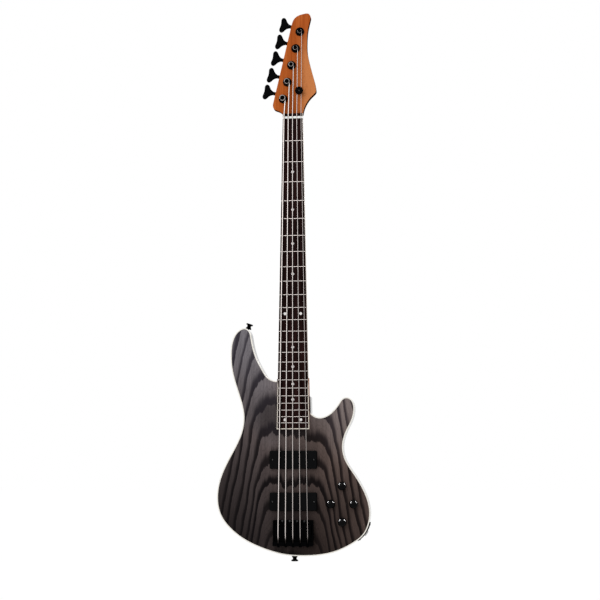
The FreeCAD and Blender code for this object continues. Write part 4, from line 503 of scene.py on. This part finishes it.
solder_green = Finish("circuit_board", Specular_IOR_Level=0.5)
tracks = solder_green.noise((900.0, 200.0, 120.0), 1.0, 0.4)
solder_green.shade(
    Base_Color=solder_green.ramp(tracks, (0.42, shade_of(16, 70, 34)), (0.58, shade_of(34, 104, 52))),
    Roughness=solder_green.range(tracks, 0.25, 0.4),
)
print("metals and circuit board:", len(bpy.data.materials), "materials so far")

# %% [markdown]
# ## Dressing the CAD parts
# A CAD part whose shape is right keeps its mesh and only gets a finish in its material slot. One
# table says which finish each part wears.

# %% Put finishes on the CAD parts
def numbered(name, count):
    """Names of parts that are counted from 1."""
    return ["%s_%d" % (name, number) for number in range(1, count + 1)]


DRESSED = {
    ash_top: ["body_top"],
    ash_core: ["body_core"],
    maple.material: ["neck"],
    board_wood.material: ["fretboard"],
    cream.material: ["body_binding"],
    edge_line.material: ["fretboard_binding"],
    bone.material: ["nut"],
    pearl.material: ["fret_dots"],
    nickel.material: ["frets"],
    plain_steel: ["truss_rod", "pots", "pot_nuts", "output_jack"],
    black_gloss: ["string_retainer", "tuner_plates", "tuner_bushings", "bridge_plate", "strap_buttons"]
    + numbered("tuner_key", 5)
    + numbered("string_post", 5)
    + numbered("saddle", 5)
    + ["intonation_screws"],
    black_matte: ["jack_plate"],
    knob_gloss: numbered("knob", 4),
    black_screw: ["bridge_screws", "strap_button_screws", "neck_bolts", "small_screws"],
    brass: numbered("tuner_gear", 5),
    black_satin: ["neck_pickup_cover", "bridge_pickup_cover"],
    resin: ["neck_pickup_coils", "bridge_pickup_coils"],
    solder_green.material: ["preamp_board"],
    black_case: ["battery"],
    black_cover: ["control_cover"],
}


def dress(obj, finish):
    """Put one finish in all of an object's slots, or in a new slot if it has none."""
    if obj.material_slots:
        for slot in obj.material_slots:
            slot.material = finish
    else:
        obj.data.materials.append(finish)


for finish, names in DRESSED.items():
    for name in names:
        dress(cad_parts[name], finish)
print("dressed", sum(len(names) for names in DRESSED.values()), "parts")

# %% [markdown]
# ## Surfaces from grids
# New pieces are grids of points: a function of two parameters gives each point, and neighbouring
# points are joined into quads. The columns can close on themselves, as round a tube. Where a ring
# shrinks to one point, its doubles are merged, so the pole is closed.

# %% Grid helpers
def grid_faces(rows, cols, close_cols):
    """Corner numbers of the quads between neighbouring rows and columns of a grid."""
    row, col = np.meshgrid(np.arange(rows - 1), np.arange(cols if close_cols else cols - 1), indexing="ij")
    next_row, next_col = row + 1, (col + 1) % cols
    corners = [row * cols + col, row * cols + next_col, next_row * cols + next_col, next_row * cols + col]
    return np.stack(corners, axis=-1).reshape(-1, 4)


def add_grid(shape, points, close_cols=False, uv=None):
    """Add a grid of points to a mesh under construction, with a UV for each point if given."""
    rows, cols = points.shape[:2]
    mesh = bpy.data.meshes.new("grid")
    faces = grid_faces(rows, cols, close_cols)
    mesh.from_pydata(points.reshape(-1, 3).tolist(), [], faces.tolist())
    if uv is not None:
        layer = mesh.uv_layers.new(name="along")
        spots = np.empty(len(mesh.loops), np.int32)
        mesh.loops.foreach_get("vertex_index", spots)
        layer.data.foreach_set("uv", uv.reshape(-1, 2)[spots].ravel())
    shape.from_mesh(mesh)
    bpy.data.meshes.remove(mesh)


def make_piece(name, shape, body, finish, replaced=(), sharp=40.0):
    """Close the doubles, point the faces outwards, shade smoothly and hand the piece to its body."""
    bmesh.ops.remove_doubles(shape, verts=shape.verts, dist=1e-7)
    bmesh.ops.dissolve_degenerate(shape, edges=shape.edges, dist=1e-8)
    bmesh.ops.recalc_face_normals(shape, faces=shape.faces)
    mesh = bpy.data.meshes.new(name)
    shape.to_mesh(mesh)
    shape.free()
    mesh.shade_smooth()
    mesh.set_sharp_from_angle(angle=math.radians(sharp))
    obj = bpy.data.objects.new(name, mesh)
    bpy.context.scene.collection.objects.link(obj)
    dress(obj, finish)
    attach(obj, body)
    if replaced:
        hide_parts(*replaced)
    return obj


def circle(count):
    """Angles of evenly spaced points round a full turn."""
    return np.arange(count) * (2 * np.pi / count)


print("grid of 3 by 4 points has", len(grid_faces(3, 4, True)), "faces when it closes round")

# %% [markdown]
# ## The strings
# A bass string is a steel core wrapped in finer wire, so it is ribbed along its whole length. The ribs
# are far finer than a pixel, so they are a wave in the finish and not a shape. Each string will carry
# two numbers as a UV: how much its painted highlight is dimmed, and the metres along it that the wave
# counts. A string's colour is a painted highlight: a bright stripe where it faces the front, dark at
# its sides. The stripe is dimmer towards the treble side and in the turns round the posts, and it is
# darkened near the ball, all painted shade.

# %% String finish
wound = Finish("string_steel", Metallic=1.0)
dimmed, along, _ = wound.parts("UV")
RIB_LENGTH = 0.42 * MM
BALL_END_SHADE = (6 * MM, 16 * MM)
ribs = wound.math("SINE", wound.math("MULTIPLY", along, 2 * math.pi / RIB_LENGTH))
tarnish = wound.noise((50.0, 50.0, 30.0), 3.0, 0.6)
# Painted highlight: a bright stripe where the string faces the front, dark at its sides, narrower and dimmer
# on dimmed strings.
stripe_edge = wound.math("MULTIPLY_ADD", dimmed, -0.6, 0.82)
stripe_edge = wound.math("MAXIMUM", stripe_edge, wound.math("MULTIPLY_ADD", dimmed, 1.75, -0.72))
painted_highlight = wound.smooth(wound.frontness(), stripe_edge, 0.99)
# Painted shade near the ball, where the string dives into the dark bridge.
painted_highlight = wound.math("MULTIPLY", painted_highlight, wound.smooth(along, *BALL_END_SHADE))
painted_highlight = wound.math("MULTIPLY", painted_highlight, wound.range(ribs, 0.94, 1.0))
painted_highlight = wound.math("MULTIPLY", painted_highlight, wound.range(dimmed, 1.0, 0.3))
tarnished_highlight = wound.mix(tarnish, shade_of(226, 215, 210), shade_of(244, 236, 232))
wound.shade(
    Base_Color=wound.mix(painted_highlight, shade_of(46, 42, 40), tarnished_highlight),
    Roughness=wound.range(tarnish, 0.3, 0.42),
)
print("string ribs every", round(RIB_LENGTH / MM, 2), "mm")

# %% [markdown]
# ## Where a string runs
# A string runs from a ball in the bridge, over its saddle and the nut, and then round its post: onto it
# near the headstock and up in turns towards the slot. Its middle line could be drawn by hand. Here it is
# worked out from the instrument's sizes in mm, so that it meets saddle, nut and post: straight
# stretches with eased corners, then a helix.

# %% String sizes
GAUGE = {1: 1.14, 2: 1.65, 3: 2.16, 4: 2.67, 5: 3.30}
# How much each string's painted highlight is dimmed: painted shade, more towards the treble side, away from
# the light on the left.
HIGHLIGHT_DIMMING = {1: 0.5, 2: 0.4, 3: 0.35, 4: 0.1, 5: 0.0}
TURNS = {1: 2.0, 2: 2.0, 3: 2.0, 4: 1.5, 5: 1.5}
# Painted shade on the turns round the posts, where they shade one another.
TURNS_HIGHLIGHT_DIMMING = 0.9
MIDDLE_STRING, THICKEST_STRING, RETAINED_STRINGS = 3, 5, (1, 2)
SCALE_LENGTH = 889.0
NUT_PITCH, BRIDGE_PITCH = 9.35, 15.72
ARCH_RADIUS = 406.0
BOARD_FACE, NUT_HEIGHT, SADDLE_HEIGHT = -6.0, 1.5, 3.6
NUT_BREAK = 7.2
SADDLE_STEP, BEHIND_SADDLE = 0.8, 7.5
BRIDGE_TOP, BRIDGE_REAR = 0.9, -927.5
START_ABOVE_PLATE, START_FROM_REAR = 8.2, 6.0
POST_LEAN = math.radians(13.8)
FIRST_POST = np.array([-22.2, 46.9])
POST_SPACING, POST_RADIUS = 39.1, 3.6
BUSHING_FRONT, BUSHING_GAP, POST_GAP = 1.2, 0.4, 0.3
FIRST_TURN_GAUGES, TURN_GAUGES, TURN_GAP = 1.1, 1.3, 0.35
STEPS_A_QUARTER, CORNER_REACH = 14, 2.0
RETAINER_Z, RETAINER_UNDER = 62.4, -5.2
UPWARD = np.array([math.sin(POST_LEAN), math.cos(POST_LEAN)])


def post_centre(string):
    """Posts stand in a leaning row, the thickest string's nearest to the nut."""
    return FIRST_POST + UPWARD * POST_SPACING * (THICKEST_STRING - string)


def string_height(x, above):
    """Y of a string's underside: the board's face, less the string's height above it.

    The face falls back from the middle by x squared over twice the arch's radius.
    """
    return BOARD_FACE + x * x / (2 * ARCH_RADIUS) - above


print("posts:", [np.round(post_centre(n), 1).tolist() for n in GAUGE])

# %% Eased corners and turns
def bent(points, reach):
    """A route through points whose corners are eased by short curves.

    Each corner becomes a quadratic curve from a little before it to a little after it.
    """
    points = np.array(points, float)
    share = np.linspace(0, 1, 9)[:, None]
    route = [points[:1]]
    for before, corner, after in zip(points, points[1:], points[2:]):
        back = (before - corner) / np.linalg.norm(before - corner)
        ahead = (after - corner) / np.linalg.norm(after - corner)
        start, end = corner + back * reach, corner + ahead * reach
        route.append((1 - share) ** 2 * start + 2 * share * (1 - share) * corner + share**2 * end)
    route.append(points[-1:])
    return np.concatenate(route)


def winding_radius(string):
    """From the post's axis to the middle of a string that is wound on it."""
    return POST_RADIUS + POST_GAP + GAUGE[string] / 2


def post_turns(string, touch, heading, slope):
    """A helix round the post from the point where the string touches it, then a short straight tail.

    The first quarter turn eases the string's own slope into the helix.
    """
    winding, turns = winding_radius(string), TURNS[string]
    pitch = GAUGE[string] * TURN_GAUGES + TURN_GAP
    quarter = np.linspace(0, 4 * turns, int(4 * turns * STEPS_A_QUARTER) + 1)[1:]
    angle = heading - math.pi / 2 + quarter * math.pi / 2
    ease = slope * winding * math.pi / 2 + pitch / 4
    early = np.clip(quarter, 0, 1)
    depth = touch[1] - pitch * quarter / 4 + ease * early * (1 - early) ** 2
    across, upwards = post_centre(string)[:, None] + winding * np.stack([np.cos(angle), np.sin(angle)])
    turned = np.stack([across, depth, upwards], axis=1)
    onward = turned[-1] - turned[-2]
    tail = turned[-1] + onward / np.linalg.norm(onward) * GAUGE[string]
    return np.concatenate([turned, tail[None]])


print("string 1 winds at", winding_radius(1), "mm from its post's axis")

# %% Whole routes
def string_route(string):
    """Centre line of a string in mm: ball, saddle, nut, perhaps the retainer, then the turns.

    The line from the nut touches the turns as a tangent touches a circle.
    """
    radius, winding = GAUGE[string] / 2, winding_radius(string)
    nut_x, saddle_x = (MIDDLE_STRING - string) * NUT_PITCH, (MIDDLE_STRING - string) * BRIDGE_PITCH
    saddle_z = -SCALE_LENGTH - SADDLE_STEP * (string - 1)
    nut = np.array([nut_x, string_height(nut_x, NUT_HEIGHT) - radius, 0.0])
    saddle = np.array([saddle_x, string_height(saddle_x, SADDLE_HEIGHT) - radius, saddle_z])
    anchor = np.array([saddle_x, BRIDGE_TOP - START_ABOVE_PLATE, BRIDGE_REAR + START_FROM_REAR])
    behind = np.array([saddle_x, saddle[1], saddle_z - BEHIND_SADDLE])
    leaving = nut + (nut - saddle) * (NUT_BREAK / -saddle_z)
    to_post = post_centre(string) - leaving[[0, 2]]
    distance = np.hypot(*to_post)
    heading = math.atan2(to_post[1], to_post[0]) - math.asin(winding / distance)
    length = math.sqrt(distance**2 - winding**2)
    low = BUSHING_FRONT - BUSHING_GAP - GAUGE[string] * FIRST_TURN_GAUGES
    touch = np.array([leaving[0] + math.cos(heading) * length, low, leaving[2] + math.sin(heading) * length])
    points = [anchor, behind, leaving]
    if string in RETAINED_STRINGS:
        share = (RETAINER_Z - leaving[2]) / (touch[2] - leaving[2])
        points.append([leaving[0] + share * (touch[0] - leaving[0]), RETAINER_UNDER + radius, RETAINER_Z])
    points.append(touch)
    straight = bent(points, CORNER_REACH)
    last = touch - np.array(points[-2])
    slope = last[1] / np.hypot(last[0], last[2])
    return np.concatenate([straight, post_turns(string, touch, heading, slope)]), len(straight)


print("string 1 route has", len(string_route(1)[0]), "points")

# %% [markdown]
# ## Tubes and balls
# Each string is one tube: a circle carried along the route, always square to it. The ball that holds
# it at the bridge is a small turned spool, so one profile is carried round an axis, as on a lathe.

# %% Tube and lathe
def tube(shape, route, radius, turns_from, dimming, around=20):
    """Carry a circle along a route, with its ends closed by a point.

    At each point the circle lies across the route: one axis is square to the route and to Y, and the
    other is square to both. The UV holds how much the string's painted highlight is dimmed, most in the
    turns, then metres along.
    """
    ahead = np.gradient(route, axis=0)
    ahead /= np.linalg.norm(ahead, axis=1, keepdims=True)
    side = np.cross(ahead, [0.0, 1.0, 0.0])
    side /= np.linalg.norm(side, axis=1, keepdims=True)
    over = np.cross(side, ahead)
    angle = circle(around)
    ring = np.cos(angle)[None, :, None] * side[:, None] + np.sin(angle)[None, :, None] * over[:, None]
    points = route[:, None] + radius * ring
    ends = [np.repeat(route[i][None, None], around, axis=1) for i in (0, -1)]
    points = np.concatenate([ends[0], points, ends[1]])
    steps = np.linalg.norm(np.diff(route, axis=0), axis=1)
    metres = np.concatenate([[0, 0], np.cumsum(steps), [steps.sum()]])
    dimming_by_point = np.where(np.arange(len(metres)) > turns_from + 3, TURNS_HIGHLIGHT_DIMMING, dimming)
    uv = np.stack([dimming_by_point, metres], axis=-1)[:, None].repeat(around, axis=1)
    add_grid(shape, points, close_cols=True, uv=uv)
    return steps.sum()


def lathe_points(profile, place, axis_turn, around):
    """Turn a profile about an axis and set it in place: radius times cosine and sine, then height."""
    angle = circle(around)
    profile = np.array(profile, float)
    radius, height = profile[:, :1], np.repeat(profile[:, 1:], around, axis=1)
    local = np.stack([radius * np.cos(angle), radius * np.sin(angle), height], axis=-1)
    return local @ np.array(axis_turn).T + np.array(place)


print("turning gives", lathe_points([(1, 0)], (0, 0, 0), np.eye(3), 8).shape[1], "points in 8 steps")

# %% Strings and their balls
BALL_HALF = [(0.0, 0.0), (2.6, 0.0), (2.9, 0.4), (2.9, 1.2), (2.2, 1.8)]
BALL_LENGTH, BALL_BEHIND = 4.5, 4.8
spool = BALL_HALF + [(radius, BALL_LENGTH - height) for radius, height in BALL_HALF[::-1]]
for string, gauge in GAUGE.items():
    shape = bmesh.new()
    route, turns_from = string_route(string)
    route = route * MM
    length = tube(shape, route, gauge / 2 * MM, turns_from, HIGHLIGHT_DIMMING[string])
    ball_place = route[0] - [0.0, 0.0, BALL_BEHIND * MM]
    replaced = ["string_%d" % string]
    make_piece("wound_string_%d" % string, shape, ROOT, wound.material, replaced, sharp=60.0)
    ball = bmesh.new()
    add_grid(ball, lathe_points(np.array(spool) * MM, ball_place, np.eye(3), 24), close_cols=True)
    make_piece("ball_end_%d" % string, ball, ROOT, black_gloss)
    print("string", string, "is", round(length, 3), "m long")

# %% [markdown]
# ## The knobs
# Each knob is turned from bar: a straight wall, a small rounded corner and a domed face, with a hollow
# underneath that clears the nut. A lathe makes it in one cut, so here one profile is carried round the
# knob's axis. The dome is a cap of a sphere, and it has to be smooth, because it mirrors the lamps.

# %% Domed knobs
KNOB_RADIUS, KNOB_HEIGHT, KNOB_DOME, KNOB_CORNER = 9.25 * MM, 15.0 * MM, 5.5 * MM, 0.9 * MM
RIM_EDGE, DOME_SHARE, KNOB_AROUND = 0.4 * MM, 0.97, 72
HOLLOW_RADIUS, HOLLOW_DEPTH, SHAFT_RADIUS = 7.4 * MM, 3.2 * MM, 3.0 * MM
FRONTWARD = np.array([[1.0, 0.0, 0.0], [0.0, 0.0, -1.0], [0.0, 1.0, 0.0]])


def knob_profile(shaft):
    """Radius and height above the knob's rim, from the shaft's end round to the dome's middle.

    The dome's sphere has a radius of (knob radius squared plus dome height squared) over twice that height.
    """
    sphere = (KNOB_RADIUS**2 + KNOB_DOME**2) / (2 * KNOB_DOME)
    rim = np.linspace(math.asin(KNOB_RADIUS / sphere) * DOME_SHARE, 0, 22)
    dome = np.stack([sphere * np.sin(rim), KNOB_HEIGHT - sphere + sphere * np.cos(rim)], axis=1)
    turn = np.linspace(0, 1, 6)[:-1, None]
    wall_top = np.array([KNOB_RADIUS, KNOB_HEIGHT - KNOB_DOME - KNOB_CORNER])
    corner = (1 - turn) ** 2 * wall_top + 2 * turn * (1 - turn) * (wall_top + [0, KNOB_CORNER])
    corner = corner + turn**2 * dome[0]
    below = [(0, -shaft), (SHAFT_RADIUS, -shaft), (SHAFT_RADIUS, HOLLOW_DEPTH), (HOLLOW_RADIUS, HOLLOW_DEPTH)]
    below += [(HOLLOW_RADIUS, 0), (KNOB_RADIUS - RIM_EDGE, 0), (KNOB_RADIUS, RIM_EDGE)]
    return np.concatenate([below, corner, dome])


for number in range(1, 5):
    low, high = (np.array(corner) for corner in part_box("knob_%d" % number))
    middle = (low + high) / 2
    rim_y = low[1] + KNOB_HEIGHT
    profile = knob_profile(high[1] - rim_y)
    shape = bmesh.new()
    place = (middle[0], rim_y, middle[2])
    add_grid(shape, lathe_points(profile, place, FRONTWARD, KNOB_AROUND), close_cols=True)
    body, replaced = "control_%d" % number, ["knob_%d" % number]
    make_piece("domed_knob_%d" % number, shape, body, knob_gloss, replaced)
print("each knob has", len(profile), "profile points")

# %% [markdown]
# ## The tuning keys
# A key is cast: two rounded ears that flow into a stem, so that finger and thumb find a hold. The frame
# has the key with its worm shaft. The ears of this instrument reach a little further out, so a copy of
# the part is drawn out along the shaft: the worm and the stem stay, and the ears move outwards.

# %% Fuller tuning keys
EAR_REACH, EAR_START, EAR_END = 3.8 * MM, 17.0 * MM, 7.0 * MM
OUTWARD = np.array([-math.cos(POST_LEAN), 0.0, math.sin(POST_LEAN)])
JOINED = 1e-6


def merged_copy(node):
    """A copy of a CAD part whose loose triangles are joined where they meet."""
    shape = bmesh.new()
    shape.from_mesh(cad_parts[node].data)
    bmesh.ops.remove_doubles(shape, verts=shape.verts, dist=JOINED)
    return shape


def drawn_out(points):
    """Move points outwards along the shaft: none at the stem, easing to the full reach at the ears."""
    along_shaft = points @ OUTWARD
    share = np.clip((along_shaft - along_shaft.max() + EAR_START) / (EAR_START - EAR_END), 0, 1)
    return points + np.outer(share * share * (3 - 2 * share) * EAR_REACH, OUTWARD)


for number in range(1, 6):
    key = make_piece(
        "eared_key_%d" % number,
        merged_copy("tuner_key_%d" % number),
        "tuner_%d_shaft" % number,
        black_gloss,
        ["tuner_key_%d" % number],
        sharp=35.0,
    )
    places = np.empty(3 * len(key.data.vertices))
    key.data.vertices.foreach_get("co", places)
    key.data.vertices.foreach_set("co", drawn_out(places.reshape(-1, 3)).ravel())
    key.data.update()
print("keys drawn out by", round(EAR_REACH / MM, 1), "mm")

# %% [markdown]
# ## Screw heads
# The frame's screws have plain heads. Real ones are struck with a cross for the driver, and its edges
# catch the light. Each screw is found in its part as an island of joined triangles, which
# tells its axis, its rim and its length. Then it is made again: one grid from the tip over the rim to the
# middle of the head, where the height is a dome less the cross. The bolts' rings, which are wide two
# ways and thin the third, are copied as they are.

# %% Find the screws in a part
RIM_SHARE = 0.98


def islands(node):
    """Joined points of a CAD part, its triangles, and a number for the island of each point."""
    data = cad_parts[node].data
    places, corners = np.empty(3 * len(data.vertices)), np.empty(len(data.loops), np.int32)
    data.vertices.foreach_get("co", places)
    data.loops.foreach_get("vertex_index", corners)
    whole, joined = np.unique(np.round(places.reshape(-1, 3) / JOINED), axis=0, return_inverse=True)
    triangles = joined.reshape(-1)[corners].reshape(-1, 3)
    island, before = np.arange(len(whole)), None
    while before is None or (before != island).any():
        before = island.copy()
        np.minimum.at(island, triangles.ravel(), before[triangles].min(axis=1).repeat(3))
        island = island[island]
    return whole * JOINED, triangles, island


def about_axis(points, axes):
    """Points measured along a screw's axes, the middle of their box, and their distances from the axis."""
    local = points @ axes.T
    middle = (local.max(axis=0) + local.min(axis=0)) / 2
    return local, middle, np.hypot(*(local - middle)[:, :2].T)


def screw_axes(points):
    """Two directions across a screw and one along it, towards its head.

    A screw is longest along its axis, so the widest spread of its points gives the axis.
    """
    across, over, ahead = np.linalg.svd(points - points.mean(axis=0), full_matrices=False)[2][::-1]
    axes = np.stack([across, over, ahead])
    local, middle, radius = about_axis(points, axes)
    if local[radius > RIM_SHARE * radius.max(), 2].mean() < middle[2]:
        axes[2] = -axes[2]
        axes[0] = np.cross(axes[1], axes[2])
    return axes


found = islands("small_screws")
print("small screws:", len(np.unique(found[2])), "islands of", len(found[0]), "points")

# %% The shape of a crossed screw
CROSS_LENGTH, CROSS_WIDTH, CROSS_EDGE, CROSS_DEPTH = 0.62, 0.15, 0.07, 0.6
ROUND_ENOUGH, TIP_LENGTH = 1.6, 0.2 * MM


def cross_of(x, y):
    """1 inside a cross of two bars, 0 outside it, with a narrow slope at the edge; lengths in head radii."""

    def bar(short, long):
        """1 inside a single bar, from the distances to its middle across it and along it."""
        inside = np.minimum(CROSS_WIDTH - np.abs(short), CROSS_LENGTH - np.abs(long))
        return np.clip(inside / CROSS_EDGE + 0.5, 0, 1)

    return np.maximum(bar(x, y), bar(y, x))


def crossed_screw(points, around=48):
    """Grid of a screw that fills the same space as an island of points.

    Its head falls from the middle with the square of the distance, and is lower inside the cross.
    """
    axes = screw_axes(points)
    local, middle, radius = about_axis(points, axes)
    head, tip, top = radius.max(), local[:, 2].min(), local[:, 2].max()
    rim = local[radius > RIM_SHARE * head, 2]
    shank = radius[local[:, 2] < tip + TIP_LENGTH].max()
    angle, share = circle(around), np.linspace(1, 0, 18)[:, None]
    x, y = share * np.cos(angle), share * np.sin(angle)
    thick = top - rim.min()
    height = rim.max() + (top - rim.max()) * (1 - share**2) - CROSS_DEPTH * thick * cross_of(x, y)
    face = np.stack([head * x, head * y, height], axis=-1)
    side = [(0, tip), (shank, tip), (shank, rim.min()), (head, rim.min())]
    side = lathe_points(side, np.zeros(3), np.eye(3), around)
    return (np.concatenate([side, face]) + [middle[0], middle[1], 0]) @ axes


print("the middle of a head is inside the cross:", cross_of(0.0, 0.0) == 1)

# %% Make the screws again
for node in ("small_screws", "bridge_screws", "neck_bolts", "strap_button_screws"):
    places, triangles, island = islands(node)
    shape = bmesh.new()
    numbers = np.unique(island)
    for number in numbers:
        part = places[island == number]
        spread = np.ptp(part @ screw_axes(part).T, axis=0)
        if spread[1] < ROUND_ENOUGH * spread[0]:
            add_grid(shape, crossed_screw(part), close_cols=True)
        else:
            kept = triangles[island[triangles[:, 0]] == number]
            corners = np.searchsorted(np.flatnonzero(island == number), kept)
            ring = bpy.data.meshes.new("ring")
            ring.from_pydata(part.tolist(), [], corners.tolist())
            shape.from_mesh(ring)
            bpy.data.meshes.remove(ring)
    make_piece("crossed_" + node, shape, ROOT, black_screw, [node], sharp=30.0)
    print(node, "has", len(numbers), "islands")

# %% [markdown]
# ## The white studio
# The bass hangs upright against white. The world is plain white to the camera and in reflections,
# and a softer white as light, so that the blacks stay black. The floor lies well below. It glows like
# lit paper to the camera, and the little that it doesn't glow keeps a faint shadow.

# %% White world
FILL_LIGHT = 0.5


def seen_rays(tree):
    """1 for a ray that shows a surface (straight, mirrored or through glass), 0 for one that only lights."""
    flags = tree.nodes.new("ShaderNodeLightPath").outputs
    total = flags["Is Camera Ray"]
    for flag in ("Is Glossy Ray", "Is Transmission Ray"):
        made = tree.nodes.new("ShaderNodeMath")
        made.operation, made.use_clamp = "ADD", True
        tree.links.new(total, made.inputs[0])
        tree.links.new(flags[flag], made.inputs[1])
        total = made.outputs[0]
    return total


world = bpy.data.worlds.new("white_studio")
bpy.context.scene.world = world
world.use_nodes = True
sky = world.node_tree
level = sky.nodes.new("ShaderNodeMapRange")
level.inputs["To Min"].default_value = FILL_LIGHT
level.inputs["To Max"].default_value = 1.0
sky.links.new(seen_rays(sky), level.inputs["Value"])
sky.nodes["Background"].inputs["Color"].default_value = (1, 1, 1, 1)
sky.links.new(level.outputs[0], sky.nodes["Background"].inputs["Strength"])
print("the world lights with", FILL_LIGHT, "of its white")

# %% Paper floor
PAPER_WHITE, PAPER_GLOW = 0.94, 1.04
FLOOR_Z, FLOOR_REACH = -1.35, 30.0
floor_shape = bmesh.new()
reach = np.array([-FLOOR_REACH, FLOOR_REACH])
add_grid(floor_shape, np.stack(np.meshgrid(reach, reach, [FLOOR_Z], indexing="ij"), axis=-1)[:, :, 0])
floor_mesh = bpy.data.meshes.new("studio_floor")
floor_shape.to_mesh(floor_mesh)
floor_shape.free()
floor = bpy.data.objects.new("studio_floor", floor_mesh)
bpy.context.scene.collection.objects.link(floor)
paper = Finish("white_paper", Base_Color=(0.9, 0.9, 0.9, 1.0), Roughness=0.9, Specular_IOR_Level=0.0)
lit = paper.tree.nodes.new("ShaderNodeMixShader")
paper.fill(lit.inputs[0], paper.math("MULTIPLY", seen_rays(paper.tree), PAPER_WHITE))
paper.fill(lit.inputs[1], paper.shader.outputs[0])
paper.fill(lit.inputs[2], paper.add("Emission", (1, 1, 1, 1), PAPER_GLOW))
paper.fill(paper.tree.nodes["Material Output"].inputs["Surface"], lit.outputs[0])
dress(floor, paper.material)
print("floor at", FLOOR_Z, "m")

# %% [markdown]
# ## Lamps
# A big soft lamp high on the left models the wood, and a smaller one behind lights the back. Two tall
# strips stand far out left and right, as the paired highlights on the knobs tell. They are so strong
# that they would burn out the strings, so they shine on the knobs alone.

# %% Lamps
def soft_lamp(name, place, aim, width, height, watts):
    """A flat lamp that faces a point of the instrument."""
    data = bpy.data.lights.new(name, "AREA")
    data.shape = "RECTANGLE"
    data.size, data.size_y = width, height
    data.energy = watts
    lamp = bpy.data.objects.new(name, data)
    lamp.location = place
    lamp.rotation_euler = (Vector(aim) - Vector(place)).to_track_quat("-Z", "Y").to_euler()
    lamp.visible_camera = False
    bpy.context.scene.collection.objects.link(lamp)
    return lamp


soft_lamp("key_lamp", (-0.8, -1.8, 0.75), (0.0, 0.0, -0.3), 2.3, 2.3, 28.0)
soft_lamp("back_lamp", (0.4, 2.6, 0.8), (0.0, 0.0, -0.45), 1.2, 1.2, 26.0)
STRIP_OUT, STRIP_WIDTH, STRIP_HEIGHT, STRIP_WATTS = 2.1, 0.35, 1.7, 900.0
mirrors = bpy.data.collections.new("lamp_mirrors")
for name in numbered("domed_knob", 4):
    mirrors.objects.link(bpy.data.objects[name])
for side in (-1, 1):
    place, aim = (side * STRIP_OUT, -0.4, 0.75), (0.0, 0.0, -0.83)
    strip = soft_lamp("strip_lamp_%d" % (side + 1), place, aim, STRIP_WIDTH, STRIP_HEIGHT, STRIP_WATTS)
    strip.visible_diffuse = False
    strip.light_linking.receiver_collection = mirrors

# %% [markdown]
# ## Finish
# The picture uses the plain Standard view, so a colour shows about as it was written.

# %% The view
bpy.context.scene.view_settings.view_transform = "Standard"
